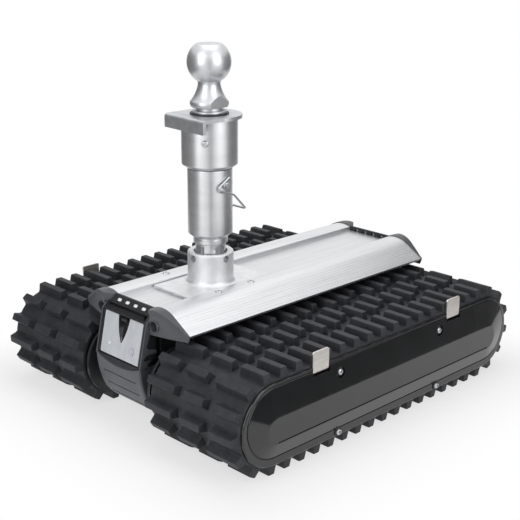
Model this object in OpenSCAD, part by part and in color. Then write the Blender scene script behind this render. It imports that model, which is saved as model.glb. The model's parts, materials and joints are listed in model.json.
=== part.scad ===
// Battery caravan mover on two rubber tracks, with a swivelling, height-adjustable tow-ball mast.
// +Z is up, the control panel faces -Y, and the origin is on the ground under the middle of the tracks.
// Left and right are as seen by someone who faces the control panel, so right is +X.

/* [Belts] */
// Spacing of the drive blocks inside the belt
block_pitch = 24; // [22:0.5:26]
// Number of drive blocks round the belt
belt_blocks = 43; // [41:1:46]
// Number of teeth on the drive sprocket
sprocket_teeth = 12; // [11:1:13]
// Depth from the belt's inner face to its cord line
cord_depth = 3; // [2:0.5:4]
// Thickness of the belt carcass
carcass_t = 5; // [4:0.5:6]
// Height of the lugs above the carcass
lug_h = 10; // [7:0.5:12]
// Length of a lug along the belt at its foot
lug_foot = 11.5; // [9.5:0.5:11.5]
// Length of a lug along the belt at its tip
lug_tip = 8.5; // [6:0.5:9]
// Rows of lugs round the belt, a multiple of three because every third row is stepped
lug_rows = 45; // [42:3:48]
// Width of the inner lugs across the belt, in a plain row
lug_inner_w = 45; // [40:1:50]
// Width of the middle lugs across the belt
lug_mid_w = 33; // [28:1:36]
// Gap between the lugs of a row, and the step of every third row
lug_gap = 12; // [8:0.5:13]
// Width of each belt
belt_w = 138; // [130:2:150]
// Gap between the body and each belt
body_gap = 22.5; // [21:0.5:26]
// Height of the drive blocks inside the belt
block_h = 8; // [5:0.5:9]
// Width of the drive blocks across the belt
block_w = 16; // [10:1:20]
// Length of a drive block along the belt
block_l = 9; // [6:0.5:10]

/* [Wheels and shafts] */
// Gap between a wheel's rim and the belt
wheel_gap = 0.3; // [0.2:0.05:0.5]
// Width of the sprocket, the idler and the road wheels
wheel_w = 104; // [90:2:110]
// Diameter of the road wheels
road_d = 44; // [40:1:48]
// Distance of each road wheel from the middle of the track
road_y = 62; // [50:1:70]
// Diameter of the drive shafts
shaft_d = 18; // [14:1:20]
// Diameter of the fixed axles
axle_d = 16; // [12:1:16]
// Wall of the spacer tubes on the axles
spacer_wall = 3; // [2:0.5:4]
// Outer diameter of the shaft bearings
bearing_d = 32; // [28:1:36]
// Clearance on the radius where a shaft or a pin turns or slides
run_fit = 0.05; // [0.02:0.01:0.1]
// Clearance on the radius where a piece is fixed in its bore
seat_fit = 0.02; // [0.01:0.01:0.03]

/* [Track frames] */
// Thickness of the frame plates
plate_t = 4; // [3:0.5:4.5]
// Gap between the inner plate and the belt's edge
plate_gap = 5; // [3:0.5:5]
// Distance of the outer plate inside the belt's outer edge
plate_inset = 10.5; // [8:0.5:13]
// Height of the outer plate
outer_plate_h = 68; // [56:1:72]
// Length of the outer plate past each end axle
outer_plate_end = 16; // [14:1:18]
// Diameter of the inner plate's round ends
inner_plate_d = 90; // [80:1:96]
// Width across the corners of the window in the inner plate
window_d = 12; // [8:1:16]
// Diameter of the bosses that carry the frame on the body
boss_d = 12; // [8:1:16]
// Distance of the bosses from the middle of the track
boss_y = 120; // [100:2:130]

/* [Side covers] */
// Diameter of the cover's round ends
cover_d = 91; // [84:1:94]
// Gap between the cover and the belt's edge
cover_gap = 0.5; // [0.3:0.1:2]
// Thickness of the cover's rim
cover_t = 2.6; // [2:0.2:4]
// Wall of the raised panel
cover_wall = 2.4; // [1.8:0.2:3]
// Rise of the raised panel above the rim
panel_rise = 5.4; // [3:0.2:8]
// Height of the raised panel at its foot
panel_foot_h = 76; // [66:1:80]
// Height of the panel's foot above the wheel axis, at its middle
panel_foot_up = 3.6; // [0:0.2:4]
// Height of the raised panel's flat face
panel_face_h = 28.4; // [20:0.4:36]
// Drop of the flat face below the wheel axis, at its middle
panel_face_down = 5; // [0:0.5:8]
// Width of the groove along the flat face's lower edge
groove_w = 1.4; // [0.8:0.2:2]
// Depth of that groove
groove_d = 1; // [0.5:0.1:1.4]
// Distance of the cover screws from the middle of the track
cover_screw_y = 88; // [70:1:100]
// Height of the upper cover screws above the wheel axis
cover_screw_up = 30; // [26:1:32]
// Drop of the lower cover screws below the wheel axis
cover_screw_down = 40.4; // [38:0.1:41]
// Thread diameter of the cover screws
cover_screw_d = 4; // [3:0.5:5]
// Width of a sheet-metal tab
tab_w = 25; // [16:1:32]
// Distance of the tabs from the middle of the track
tab_y = 117; // [110:1:130]
// Thickness of the tabs
tab_t = 2; // [1:0.2:2.4]
// Height of a tab's top above the lug tips
tab_up = 5; // [4:0.5:14]
// Height of a tab's foot above the wheel axis
tab_foot_up = 37.5; // [35:0.5:39]

/* [Deck] */
// Length of the deck between the end caps
deck_len = 403; // [380:1:430]
// Thickness of the deck's walls
deck_t = 4; // [3:0.5:5]
// Width of the channel along the deck
channel_w = 66.8; // [64:0.4:72]
// Depth of the channel below its ridges
channel_d = 4.9; // [4:0.1:8]
// Radius of the rounded ridges
ridge_r = 36; // [30:1:40]
// Distance of the ridge's crest from the middle
ridge_x = 46.5; // [44:0.5:50]
// Slope of the wings, in degrees
wing_slope = 31; // [28:0.5:36]
// Half width of the deck at the wing tips
wing_x = 90.5; // [84:0.5:96]
// Height of the wing tips above the lug tips
wing_up = 10.4; // [7:0.2:16]
// Grooves along each wing
wing_grooves = 7; // [4:1:9]
// Width and depth of a wing groove
wing_groove_w = 0.8; // [0.4:0.1:1.2]
// Fine step at the root of the wings
wing_step = 0.1; // [0.05:0.05:0.3]

/* [End caps] */
// Reach of an end cap in front of the deck, at its middle
cap_reach = 18.5; // [17:0.5:20]
// Radius of an end cap's front, seen from above
cap_plan_r = 238; // [230:1:300]
// Thickness of an end cap behind its screws' heads
cap_seat = 5; // [4:0.5:7]
// Height by which an end cap stands above the deck's surface
cap_proud = 1; // [0.5:0.1:2]
// Depth of an end cap below the wing tips
cap_drop = 8; // [3:0.5:9]
// Thickness of the wall across the channel
cap_wall = 4; // [3:0.5:5]
// Width of a slot in that wall
slot_w = 6; // [4:0.5:8]
// Height of a slot
slot_h = 3.2; // [2:0.2:4]
// Spacing of the slots
slot_pitch = 14.4; // [10:0.2:15]
// Diameter of the recess for an end-cap screw
cap_recess_d = 10; // [8:0.5:12]
// Thread diameter of the end-cap screws
cap_screw_d = 5; // [4:0.5:6]
// Wall round the screw bores under the deck's ridges
port_wall = 2.5; // [2:0.1:3]
// Drop of the end-cap screws below the ridge's inner edge
cap_screw_down = 15; // [14:0.5:17]

/* [Body] */
// Width of the body between the tracks
body_w = 80; // [78:1:81]
// Wall of the body
body_t = 3; // [2:0.2:3.4]
// Height of the belly plate above the ground
belly_z = 26; // [20:1:30]
// Reach of the body behind the deck
body_rear = 12.5; // [10:0.5:16]
// Height of the seam between the front bezel and the bow cover
seam_z = 70; // [66:1:72]
// Radius of the bow covers' curve
bow_r = 60; // [56:1:66]
// Reach of the bow covers past the front plane at the seam
bow_out = 5; // [3:0.5:7]
// Radius of the bow covers' curve, seen from above
bow_plan_r = 90; // [80:1:110]
// Lines cut across a bow cover
bow_lines = 3; // [2:1:4]
// Thickness of the front cover's cheeks, beside the bezel
cheek_t = 2; // [1.6:0.2:2.4]

/* [Battery and panel] */
// Width of the black frame and the cheek, beside the control panel
face_side = 6; // [5:0.5:8]
// Height of the control panel
face_h = 48; // [44:1:50]
// Lean of the control panel, in degrees
face_lean = 12; // [8:1:14]
// Thickness of the control panel
face_t = 3; // [2.4:0.2:4]
// Distance of the panel's top edge in front of the deck's end
face_out = 16.5; // [14:0.5:18]
// Drop of the panel's top edge below the deck's channel
face_down = 10; // [8:0.5:12]
// Gap between the panel and the bezel
face_gap = 0.5; // [0.3:0.1:1]
// Length of the battery pack
battery_l = 210; // [160:5:220]
// Gap between the battery and the controller board
board_gap = 45; // [30:5:60]
// Length of the controller board
board_l = 90; // [70:5:100]
// Width of the thumb scoop at its mouth
scoop_w = 19.5; // [17:0.5:22]
// Height of the thumb scoop
scoop_h = 30; // [24:1:33]
// Depth of the thumb scoop
scoop_d = 9; // [6:0.5:12]
// Wall of the thumb scoop
scoop_wall = 1.5; // [1:0.1:2]
// Width of the latch
latch_w = 10; // [8:0.5:11]
// Diameter of the power button
button_d = 8; // [6:0.5:10]
// Travel of the power button
button_travel = 1.2; // [0.6:0.1:1.6]
// Distance of the power button from the panel's middle
button_x = 19.8; // [17:0.2:22]
// Drop of the button and the lamp below the panel's top edge
button_down = 35; // [30:0.5:38]
// Diameter of the status lamp
led_d = 3; // [2:0.5:5]
// Distance of the status lamp from the panel's middle
led_x = 19.8; // [17:0.2:24]

/* [Mast] */
// Distance of the mast in front of the middle of the tracks
mast_y = 89; // [60:1:100]
// Length of the mast's base plate
base_l = 124; // [90:2:130]
// Width of the mast's base plate
base_w = 64; // [58:0.5:64]
// Thickness of the base plate
base_t = 3.4; // [3:0.2:5]
// Diameter of the socket
socket_d = 54.4; // [48:0.2:55]
// Height of the socket above the base plate
socket_h = 37.5; // [30:0.5:42]
// Diameter of the radial holes in the socket
lock_hole_d = 6.8; // [5:0.2:8]
// Drop of the radial holes below the socket's rim
lock_hole_down = 6; // [5:0.5:9]
// Radius of the fillet at the socket's foot
socket_fillet = 4.6; // [3:0.2:4.8]
// Spacing of the base screws along the mast's base plate
base_screw_l = 104; // [80:2:108]
// Spacing of the base screws across the plate
base_screw_w = 50; // [46:1:52]
// Thread diameter of the base screws
base_screw_d = 5; // [4:0.5:6]
// Distance of the deck screws' middle in front of the middle of the tracks
deck_screw_mid = 93.5; // [85:0.5:100]
// Spacing of the deck screws along the deck
deck_screw_l = 51; // [44:1:60]
// Thread diameter of the deck screws
deck_screw_d = 4; // [3:0.5:5]
// Wall of the bush in the socket
bush_wall = 2.2; // [1.5:0.1:3]
// Diameter of the spigot that turns in the bush
spigot_d = 35.4; // [32:0.2:38]
// Height of the spigot between the socket and the collar
spigot_up = 10; // [8:0.5:14]
// Slots round the top of the spigot
spigot_slots = 4; // [3:1:6]
// Width of a slot in the spigot
spigot_slot_w = 14; // [8:0.5:16]
// Depth of a slot in the spigot
spigot_slot_d = 5; // [3:0.5:6]
// Diameter of the collar
collar_d = 40.6; // [38:0.2:43]
// Height of the collar
collar_h = 7.5; // [6:0.5:12]
// Outer diameter of the mast tube
tube_d = 52.4; // [48:0.1:54]
// Height of the mast tube
tube_h = 82; // [76:1:96]
// Chamfer at the foot of the tube
tube_chamfer = 4.8; // [3:0.2:6]
// Thickness of the floor in the tube
tube_floor = 10; // [7:0.5:14]
// Height of the lock pin below the tube's top
pin_down = 16.5; // [12:0.5:20]

/* [Head] */
// Diameter of the post that slides in the mast tube
post_d = 40; // [36:0.2:42]
// Lift of the head
head_lift = 40; // [20:1:42]
// Diameter of the sleeve
sleeve_d = 65.4; // [60:0.2:66]
// Height of the sleeve
sleeve_h = 58; // [52:1:70]
// Chamfer at the foot of the sleeve
sleeve_chamfer = 4.5; // [3:0.5:5.5]
// Gap between the sleeve and the tube's top
sleeve_gap = 0.4; // [0.3:0.1:0.6]
// Wall of the sleeve round the ball's nut
sleeve_wall = 7; // [5:0.5:9]
// Height of the sleeve's solid floor
sleeve_floor = 20; // [16:1:24]
// Thickness of the head plate
top_t = 4; // [3:0.2:4]
// Diameter of the head plate's round end
top_d = 75.4; // [70:0.2:80]
// Width of the head plate's square end
top_w = 72; // [58:1:74]
// Distance of the lip's face in front of the mast's axis
lip_out = 37.2; // [37:0.2:46]
// Height of the lip below the head plate
lip_h = 12; // [8:0.5:20]
// Turn of the head plate on the sleeve, in degrees
top_turn = 4; // [0:1:15]
// Diameter of the small screw's head on the sleeve
sleeve_screw_d = 8; // [6:0.5:10]
// Turn of that screw from the front, in degrees
sleeve_screw_turn = 39; // [0:1:60]
// Drop of that screw below the head plate
sleeve_screw_down = 25; // [18:0.5:30]

/* [Tow ball] */
// Diameter of the tow ball
ball_d = 50.8; // [47.6:0.2:58.8]
// Diameter of the flat on the ball
ball_flat_d = 28.5; // [20:0.5:30]
// Height of the ball's middle above its foot
ball_up = 50.8; // [47:0.2:54]
// Diameter of the ball's neck
neck_d = 25.6; // [22:0.2:28]
// Diameter of the ball's foot
foot_d = 44.8; // [40:0.2:48]
// Height of the ball's foot
foot_h = 6; // [5:0.5:8]
// Width across the wrench flats on the foot
flats_w = 35; // [33:0.5:38]
// Height of the flare between the foot and the ball
flare_h = 20.5; // [17:0.5:22]
// Radius of the flare's hollow
flare_r = 41; // [32:1:60]
// Diameter of the ball's shank
shank_d = 19; // [16:0.5:25]
// Outer diameter of the washer under the ball
washer_d = 40; // [36:0.5:44]
// Thickness of that washer
washer_t = 8; // [4:0.5:9]
// Width across the flats of the nut
nut_w = 29; // [26:0.5:32]
// Height of the nut
nut_h = 15; // [12:0.5:18]

/* [Lock pin] */
// Diameter of the lock pin
pin_d = 10; // [8:0.5:12]
// Diameter of the pin's thin end, which the wire bail turns on
pin_end_d = 6.4; // [5:0.2:7]
// Length by which the pin stands out of the tube
pin_out = 5; // [4:0.2:7]
// Diameter of the bail's wire
wire_d = 2.5; // [2:0.1:3]
// Distance of the bail's arm behind the mast's axis
bail_back = 30; // [29:0.1:32]
// Drop of the bail's arm below the pin
bail_drop = 33; // [26:0.5:36]

/* [Hidden] */
$fn = 64;
// Overlap of a cut past a face, and sink of a lug's foot into the carcass
cut = 1;

// Track loop, worked out from the pitch and the tooth counts
pitch_r = sprocket_teeth * block_pitch / (2 * PI);
carcass_in = pitch_r - cord_depth;
carcass_out = carcass_in + carcass_t;
tip_r = carcass_out + lug_h;
axis_z = tip_r;
half_base = block_pitch * (belt_blocks - sprocket_teeth) / 4;
belt_in_x = body_w / 2 + body_gap;
belt_out_x = belt_in_x + belt_w;
belt_x = belt_in_x + belt_w / 2;
row_pitch = block_pitch * belt_blocks / lug_rows;
wheel_r = carcass_in - wheel_gap;
block_room = 1.5;
groove_r = wheel_r - block_h - block_room;
road_z = axis_z - wheel_r + road_d / 2;
road_groove_r = road_d / 2 - block_h - block_room;

// Frame plates and side covers
inner_plate_x = belt_in_x - plate_gap - plate_t;
outer_plate_x = belt_out_x - plate_inset - plate_t;
wheel_x0 = belt_x - wheel_w / 2;
wheel_x1 = belt_x + wheel_w / 2;
wheel_side_gap = 0.4;
cover_x = belt_out_x + cover_gap;
rim_x = cover_x + cover_t;
panel_x = rim_x + panel_rise;
tab_x = cover_x + 0.4;
tab_top_z = axis_z + tip_r + tab_up;
tab_notch = 0.6;

// Deck section: a round ridge, then a straight wing
wing_tip_z = 2 * tip_r + wing_up;
wing_start_x = ridge_x + ridge_r * sin(wing_slope);
wing_run = (wing_x - wing_start_x) / cos(wing_slope);
ridge_z = wing_tip_z - ridge_r * cos(wing_slope) + (wing_x - wing_start_x) * tan(wing_slope);
ridge_in_angle = asin((ridge_x - channel_w / 2) / ridge_r);
ridge_edge_z = ridge_z + ridge_r * cos(ridge_in_angle);
channel_z = ridge_edge_z - channel_d;
deck_low_z = channel_z - deck_t;
deck_end = deck_len / 2;
body_end = deck_end + body_rear;
cap_low_z = wing_tip_z - cap_drop;
cap_screw_x = ridge_x;
cap_screw_z = ridge_edge_z - cap_screw_down;
rib_w = cap_screw_d + 2 * port_wall;
rib_low_z = cap_screw_z - rib_w / 2;
deck_screw_z = ridge_z + ridge_r - 0.5;
flange_t = 3;

// Control panel: its top edge, and the directions down its face and out of it
face_w = body_w - 2 * face_side;
face_y = -(deck_end + face_out);
face_z = channel_z - face_down;
bezel_y = -deck_end - cap_wall;
hood_z = deck_low_z + deck_t / 2;
bezel_step = 1;
cheek_step = 0.6;
part_gap = 0.3;
front_y = face_y - (face_z - seam_z) * tan(face_lean);
bay_z = face_z - face_h * cos(face_lean) + 1;
bow_y = front_y - bow_out + bow_r;

// How far a bow cover has swept back at a height
function bow_sag(z) = bow_r - sqrt(bow_r * bow_r - (seam_z - z) * (seam_z - z));

// Mast and head, stacked from the deck's channel up
base_z = channel_z + base_t;
base_skin = 0.8;
socket_z = base_z + socket_h;
collar_z = socket_z + spigot_up;
tube_z = collar_z + collar_h;
tube_top_z = tube_z + tube_h;
sleeve_z = tube_top_z + sleeve_gap;
top_z = sleeve_z + sleeve_h;
washer_z = top_z + top_t;
foot_z = washer_z + washer_t;
pin_z = tube_top_z - pin_down;
post_foot_z = pin_z - head_lift - pin_d - 4;
bush_r = spigot_d / 2 + run_fit;
spigot_foot_z = channel_z + 1;
nut_z = top_z - nut_h - 0.5;
bend_d = 1.36 * wire_d;
wire_x = tube_d / 2 + bend_d / 2 + part_gap;
hug = pin_end_d / 2 + wire_d / 2 + 0.7;
eye_wall = 1.8;

// Colours as the object shows them
aluminium = "#cfd1d3";
cast_grey = "#c4c6c8";
steel = "#a9abae";
zinc = "#8f9093";
black_plastic = "#26272b";
gloss_black = "#1c1d20";
rubber = "#2c2d31";
grey_plastic = "#6d6f73";
pale_plastic = "#b9bcc1";
copper_green = "#2f5a3f";

// Shared shapes
module along_x(x, length) {
    translate([x, 0, 0])
        rotate([90, 0, 90])
            linear_extrude(height = length)
                children();
}

module along_y(y, length) {
    translate([0, y + length, 0])
        rotate([90, 0, 0])
            linear_extrude(height = length)
                children();
}

module rod_x(x, length, d) {
    translate([x, 0, 0])
        rotate([0, 90, 0])
            cylinder(h = length, d = d);
}

module mirrored(right) {
    if (right) {
        children();
    } else {
        mirror([1, 0, 0])
            children();
    }
}

module facing(end) {
    if (end > 0) {
        children();
    } else {
        mirror([0, 1, 0])
            children();
    }
}

// A long round-ended outline about the wheel axis, in the track's own plane
module stadium(r, half) {
    translate([-half, axis_z - r])
        square([2 * half, 2 * r]);
    for (y = [-half, half])
        translate([y, axis_z])
            circle(r = r);
}

// Place and heading on the belt's cord line, at a distance s round the loop
module on_loop(s) {
    run = 2 * half_base;
    bend = PI * pitch_r;
    if (s < run) {
        translate([half_base - s, axis_z])
            translate([0, pitch_r])
                children();
    } else if (s < run + bend) {
        translate([-half_base, axis_z])
            rotate((s - run) / pitch_r * 180 / PI)
                translate([0, pitch_r])
                    children();
    } else if (s < 2 * run + bend) {
        translate([s - run - bend - half_base, axis_z])
            rotate(180)
                translate([0, pitch_r])
                    children();
    } else {
        translate([half_base, axis_z])
            rotate(180 + (s - 2 * run - bend) / pitch_r * 180 / PI)
                translate([0, pitch_r])
                    children();
    }
}

module lug_outline() {
    base = carcass_out - pitch_r;
    polygon([[-lug_foot / 2, base - cut], [lug_foot / 2, base - cut], [lug_foot / 2, base],
             [lug_tip / 2, base + lug_h], [-lug_tip / 2, base + lug_h], [-lug_foot / 2, base]]);
}

module block_outline() {
    translate([-block_l / 2, -cord_depth - block_h])
        square([block_l, block_h + cut]);
}

// Strip of the belt between two distances from its inner edge, with lugs in its plain or stepped rows
module belt_strip(from, to, plain, stepped, step) {
    along_x(belt_in_x + from, to - from)
        difference() {
            union() {
                stadium(carcass_out, half_base);
                for (i = [0 : lug_rows - 1])
                    if ((i % 3 == step) ? stepped : plain)
                        on_loop((i + 0.5) * row_pitch)
                            lug_outline();
            }
            stadium(carcass_in, half_base);
        }
}

// Belt with three lugs to a row; the left belt stands one row on from the right one
module belt(right) {
    step = right ? 2 : 1;
    mid = lug_inner_w + lug_gap;
    mid_end = mid + lug_mid_w;
    color(rubber)
        mirrored(right) {
            belt_strip(0, lug_inner_w - lug_gap, true, true, step);
            belt_strip(lug_inner_w - lug_gap, lug_inner_w, true, false, step);
            belt_strip(lug_inner_w, mid, false, true, step);
            belt_strip(mid, mid_end - lug_gap, true, true, step);
            belt_strip(mid_end - lug_gap, mid_end, true, false, step);
            belt_strip(mid_end, mid_end + lug_gap, false, true, step);
            belt_strip(mid_end + lug_gap, belt_w, true, true, step);
            along_x(belt_x - block_w / 2, block_w)
                for (i = [0 : belt_blocks - 1])
                    on_loop(i * block_pitch)
                        block_outline();
        }
}

module inner_plate(right) {
    color(black_plastic)
        mirrored(right) {
            difference() {
                along_x(inner_plate_x, plate_t)
                    stadium(inner_plate_d / 2, half_base);
                translate([0, half_base, axis_z])
                    rod_x(inner_plate_x - cut, plate_t + 2 * cut, bearing_d + 2 * seat_fit);
                translate([0, -half_base, axis_z])
                    rod_x(inner_plate_x - cut, plate_t + 2 * cut, axle_d + 2 * seat_fit);
                for (y = [-road_y, road_y])
                    translate([0, y, road_z])
                        rod_x(inner_plate_x - cut, plate_t + 2 * cut, axle_d + 2 * seat_fit);
                translate([0, -half_base - inner_plate_d * 0.3, axis_z + inner_plate_d * 0.24])
                    rotate([0, 90, 0])
                        cylinder(h = 4 * inner_plate_x, d = window_d, $fn = 6);
            }
            for (y = [-boss_y, boss_y], z = [-1, 1])
                translate([0, y, axis_z + z * inner_plate_d / 4])
                    rod_x(body_w / 2, inner_plate_x - body_w / 2, boss_d);
        }
}

// Outer plate, with the bosses and ledges that carry the side cover's screws
module outer_plate(right) {
    far_x = outer_plate_x + plate_t;
    ledge_h = carcass_in - wheel_gap - cover_screw_down;
    color(zinc)
        mirrored(right)
            difference() {
                union() {
                    translate([outer_plate_x, -half_base - outer_plate_end, axis_z - outer_plate_h / 2])
                        cube([plate_t, 2 * (half_base + outer_plate_end), outer_plate_h]);
                    for (y = [-cover_screw_y, cover_screw_y]) {
                        translate([0, y, axis_z + cover_screw_up])
                            rod_x(far_x - cut, cover_x - far_x + cut, boss_d);
                        translate([outer_plate_x, y - boss_d / 2, axis_z - cover_screw_down - ledge_h])
                            cube([cover_x - outer_plate_x, boss_d,
                                  cover_screw_down + ledge_h - outer_plate_h / 2 + cut]);
                    }
                    for (y = [-tab_y, tab_y])
                        translate([outer_plate_x, y - tab_w / 2, axis_z + outer_plate_h / 2 - cut])
                            cube([plate_t, tab_w, tab_foot_up - outer_plate_h / 2 + cut]);
                }
                for (y = [-cover_screw_y, cover_screw_y], z = [cover_screw_up, -cover_screw_down])
                    translate([0, y, axis_z + z])
                        rod_x(outer_plate_x - cut, 4 * plate_inset, cover_screw_d + 2 * seat_fit);
                translate([0, half_base, axis_z])
                    rod_x(outer_plate_x - cut, plate_t + 2 * cut, bearing_d + 2 * seat_fit);
                translate([0, -half_base, axis_z])
                    rod_x(outer_plate_x - cut, plate_t + 2 * cut, axle_d + 2 * seat_fit);
                for (y = [-road_y, road_y])
                    translate([0, y, road_z])
                        rod_x(outer_plate_x - cut, plate_t + 2 * cut, axle_d + 2 * seat_fit);
            }
}

module sprocket(right) {
    step = 360 / sprocket_teeth;
    rim_t = wheel_r - groove_r + 4;
    pocket_w = block_w + 2 * block_room;
    pocket_l = block_l + 2 * block_room;
    color(zinc)
        mirrored(right)
            translate([0, half_base, axis_z])
                difference() {
                    rod_x(wheel_x0, wheel_w, 2 * wheel_r);
                    rod_x(wheel_x0 - cut, wheel_w + 2 * cut, shaft_d + 2 * seat_fit);
                    for (x = [wheel_x0 - cut, wheel_x1 - wheel_w / 4])
                        difference() {
                            rod_x(x, wheel_w / 4 + cut, 2 * (wheel_r - rim_t));
                            rod_x(x - cut, wheel_w / 4 + 3 * cut, shaft_d + 10);
                        }
                    for (i = [0 : sprocket_teeth - 1])
                        rotate([i * step, 0, 0])
                            translate([belt_x - pocket_w / 2, -pocket_l / 2, groove_r])
                                cube([pocket_w, pocket_l, wheel_r]);
                }
}

module drive_shaft(right) {
    color(steel)
        mirrored(right)
            translate([0, half_base, axis_z])
                rod_x(body_w / 4, outer_plate_x + plate_t - body_w / 4, shaft_d);
}

module bearings(right) {
    color(steel)
        mirrored(right)
            translate([0, half_base, axis_z])
                for (x = [inner_plate_x, outer_plate_x])
                    difference() {
                        rod_x(x, plate_t, bearing_d);
                        rod_x(x - cut, plate_t + 2 * cut, shaft_d + 2 * run_fit);
                    }
}

// A wheel with a groove round its middle, which the belt's drive blocks run through
module grooved_wheel(d, groove_d) {
    groove_half = block_w / 2 + block_room;
    difference() {
        rod_x(wheel_x0, wheel_w, d);
        difference() {
            rod_x(belt_x - groove_half, 2 * groove_half, d + 2 * cut);
            rod_x(belt_x - groove_half - cut, 2 * groove_half + 2 * cut, groove_d);
        }
        rod_x(wheel_x0 - cut, wheel_w + 2 * cut, axle_d + 2 * run_fit);
    }
}

module idler(right) {
    color(black_plastic)
        mirrored(right)
            translate([0, -half_base, axis_z])
                grooved_wheel(2 * wheel_r, 2 * groove_r);
}

module roller(right, y) {
    color(black_plastic)
        mirrored(right)
            translate([0, y, road_z])
                grooved_wheel(road_d, 2 * road_groove_r);
}

// One fixed axle with the spacer tubes that centre its wheel
module axle_set() {
    far_x = outer_plate_x + plate_t;
    near_x = inner_plate_x + plate_t;
    rod_x(inner_plate_x, far_x - inner_plate_x, axle_d);
    for (span = [[near_x, wheel_x0 - wheel_side_gap], [wheel_x1 + wheel_side_gap, outer_plate_x]])
        difference() {
            rod_x(span[0], span[1] - span[0], axle_d + 2 * spacer_wall);
            rod_x(span[0] - cut, span[1] - span[0] + 2 * cut, axle_d + 2 * seat_fit);
        }
}

module axles(right) {
    color(steel)
        mirrored(right) {
            translate([0, -half_base, axis_z])
                axle_set();
            for (y = [-road_y, road_y])
                translate([0, y, road_z])
                    axle_set();
        }
}

// Right-angle gearbox on the drive shaft, with its motor lying forward along the body
module gear_motor(right) {
    box_x = 1.5;
    box_w = body_w / 2 - body_t - box_x;
    box_h = 56;
    box_l = 52;
    motor_d = 31;
    motor_l = 110;
    box_y = half_base - box_l / 2;
    color(zinc)
        mirrored(right) {
            difference() {
                translate([box_x, box_y, axis_z - box_h / 2])
                    cube([box_w, box_l, box_h]);
                translate([0, half_base, axis_z])
                    rod_x(body_w / 4 - cut, body_w, shaft_d + 2 * run_fit);
            }
            translate([box_x + box_w / 2, box_y, axis_z])
                rotate([90, 0, 0])
                    cylinder(h = motor_l, d = motor_d);
        }
}

// Flat rim with a raised, bevelled panel, hollow at the back
module cover_bulge(inset, x) {
    hull() {
        for (y = [-half_base, half_base]) {
            translate([x, y, axis_z + panel_foot_up])
                rod_x(0, 0.02, panel_foot_h - 2 * inset);
            translate([x, y, axis_z - panel_face_down])
                rod_x(0, panel_rise, panel_face_h - 2 * inset);
        }
    }
}

module side_cover(right) {
    face_low_z = axis_z - panel_face_down - panel_face_h / 2;
    color(gloss_black)
        mirrored(right)
            difference() {
                union() {
                    along_x(cover_x, cover_t)
                        stadium(cover_d / 2, half_base);
                    cover_bulge(0, rim_x - 0.02);
                }
                cover_bulge(cover_wall, rim_x - cover_wall);
                translate([panel_x - groove_d, -half_base, face_low_z])
                    cube([2 * groove_d, 2 * half_base, groove_w]);
                for (y = [-cover_screw_y, cover_screw_y], z = [cover_screw_up, -cover_screw_down])
                    translate([0, y, axis_z + z]) {
                        rod_x(cover_x - cut, 4 * cover_t, cover_screw_d + 2 * seat_fit);
                        rod_x(rim_x, 2 * panel_rise, 3.2 * cover_screw_d);
                    }
                for (y = [-tab_y, tab_y])
                    translate([cover_x - cut, y - tab_w / 2 - tab_notch, axis_z + tab_foot_up - tab_notch])
                        cube([4 * panel_rise, tab_w + 2 * tab_notch, cover_d]);
            }
}

module cover_screws(right) {
    head_h = 0.55 * cover_screw_d;
    washer_h = 0.8;
    color(steel)
        mirrored(right)
            for (y = [-cover_screw_y, cover_screw_y], z = [cover_screw_up, -cover_screw_down])
                translate([0, y, axis_z + z]) {
                    rod_x(outer_plate_x, rim_x + washer_h - outer_plate_x, cover_screw_d);
                    rod_x(rim_x, washer_h, 2.7 * cover_screw_d);
                    difference() {
                        rod_x(rim_x + washer_h, head_h, 1.8 * cover_screw_d);
                        translate([rim_x + washer_h + head_h / 2, 0, 0])
                            rotate([0, 90, 0])
                                cylinder(h = head_h, d = 0.8 * cover_screw_d, $fn = 6);
                    }
                }
}

// Bent tabs: a foot on the outer plate, and a leg that stands up past the belt's edge
module cover_tabs(right) {
    color(pale_plastic)
        mirrored(right)
            for (y = [-tab_y, tab_y])
                translate([0, y - tab_w / 2, axis_z + tab_foot_up]) {
                    translate([outer_plate_x, 0, 0])
                        cube([tab_x + tab_t - outer_plate_x, tab_w, tab_t]);
                    translate([tab_x, 0, 0])
                        cube([tab_t, tab_w, tab_top_z - axis_z - tab_foot_up]);
                }
}

// Half of the deck's outer skin: a ring sector for the ridge, then the straight wing, a fine step lower
module deck_skin() {
    reach = 2 * ridge_r;
    lap = deck_t / 4;
    translate([ridge_x, ridge_z])
        intersection() {
            difference() {
                circle(r = ridge_r);
                circle(r = ridge_r - deck_t);
            }
            polygon([[0, 0], [-reach * tan(ridge_in_angle), reach], [reach * tan(wing_slope), reach]]);
        }
    translate([wing_start_x, ridge_z + ridge_r * cos(wing_slope)])
        rotate(-wing_slope)
            translate([-lap, -deck_t - wing_step])
                square([wing_run + lap, deck_t]);
}

// Half of the deck's section, with a rib under the ridge that takes the screws
module deck_half() {
    difference() {
        deck_skin();
        for (i = [1 : wing_grooves])
            translate([wing_start_x, ridge_z + ridge_r * cos(wing_slope)])
                rotate(-wing_slope)
                    translate([i * wing_run / (wing_grooves + 1) - wing_groove_w / 2, -wing_groove_w])
                        square([wing_groove_w, 2 * wing_groove_w]);
    }
    translate([channel_w / 2, deck_low_z])
        square([deck_t, ridge_edge_z - deck_low_z - deck_t / 2]);
    difference() {
        translate([cap_screw_x - rib_w / 2, rib_low_z])
            square([rib_w, ridge_z + ridge_r - deck_t / 2 - rib_low_z]);
        translate([cap_screw_x, cap_screw_z])
            circle(d = cap_screw_d + 2 * seat_fit);
    }
}

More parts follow.
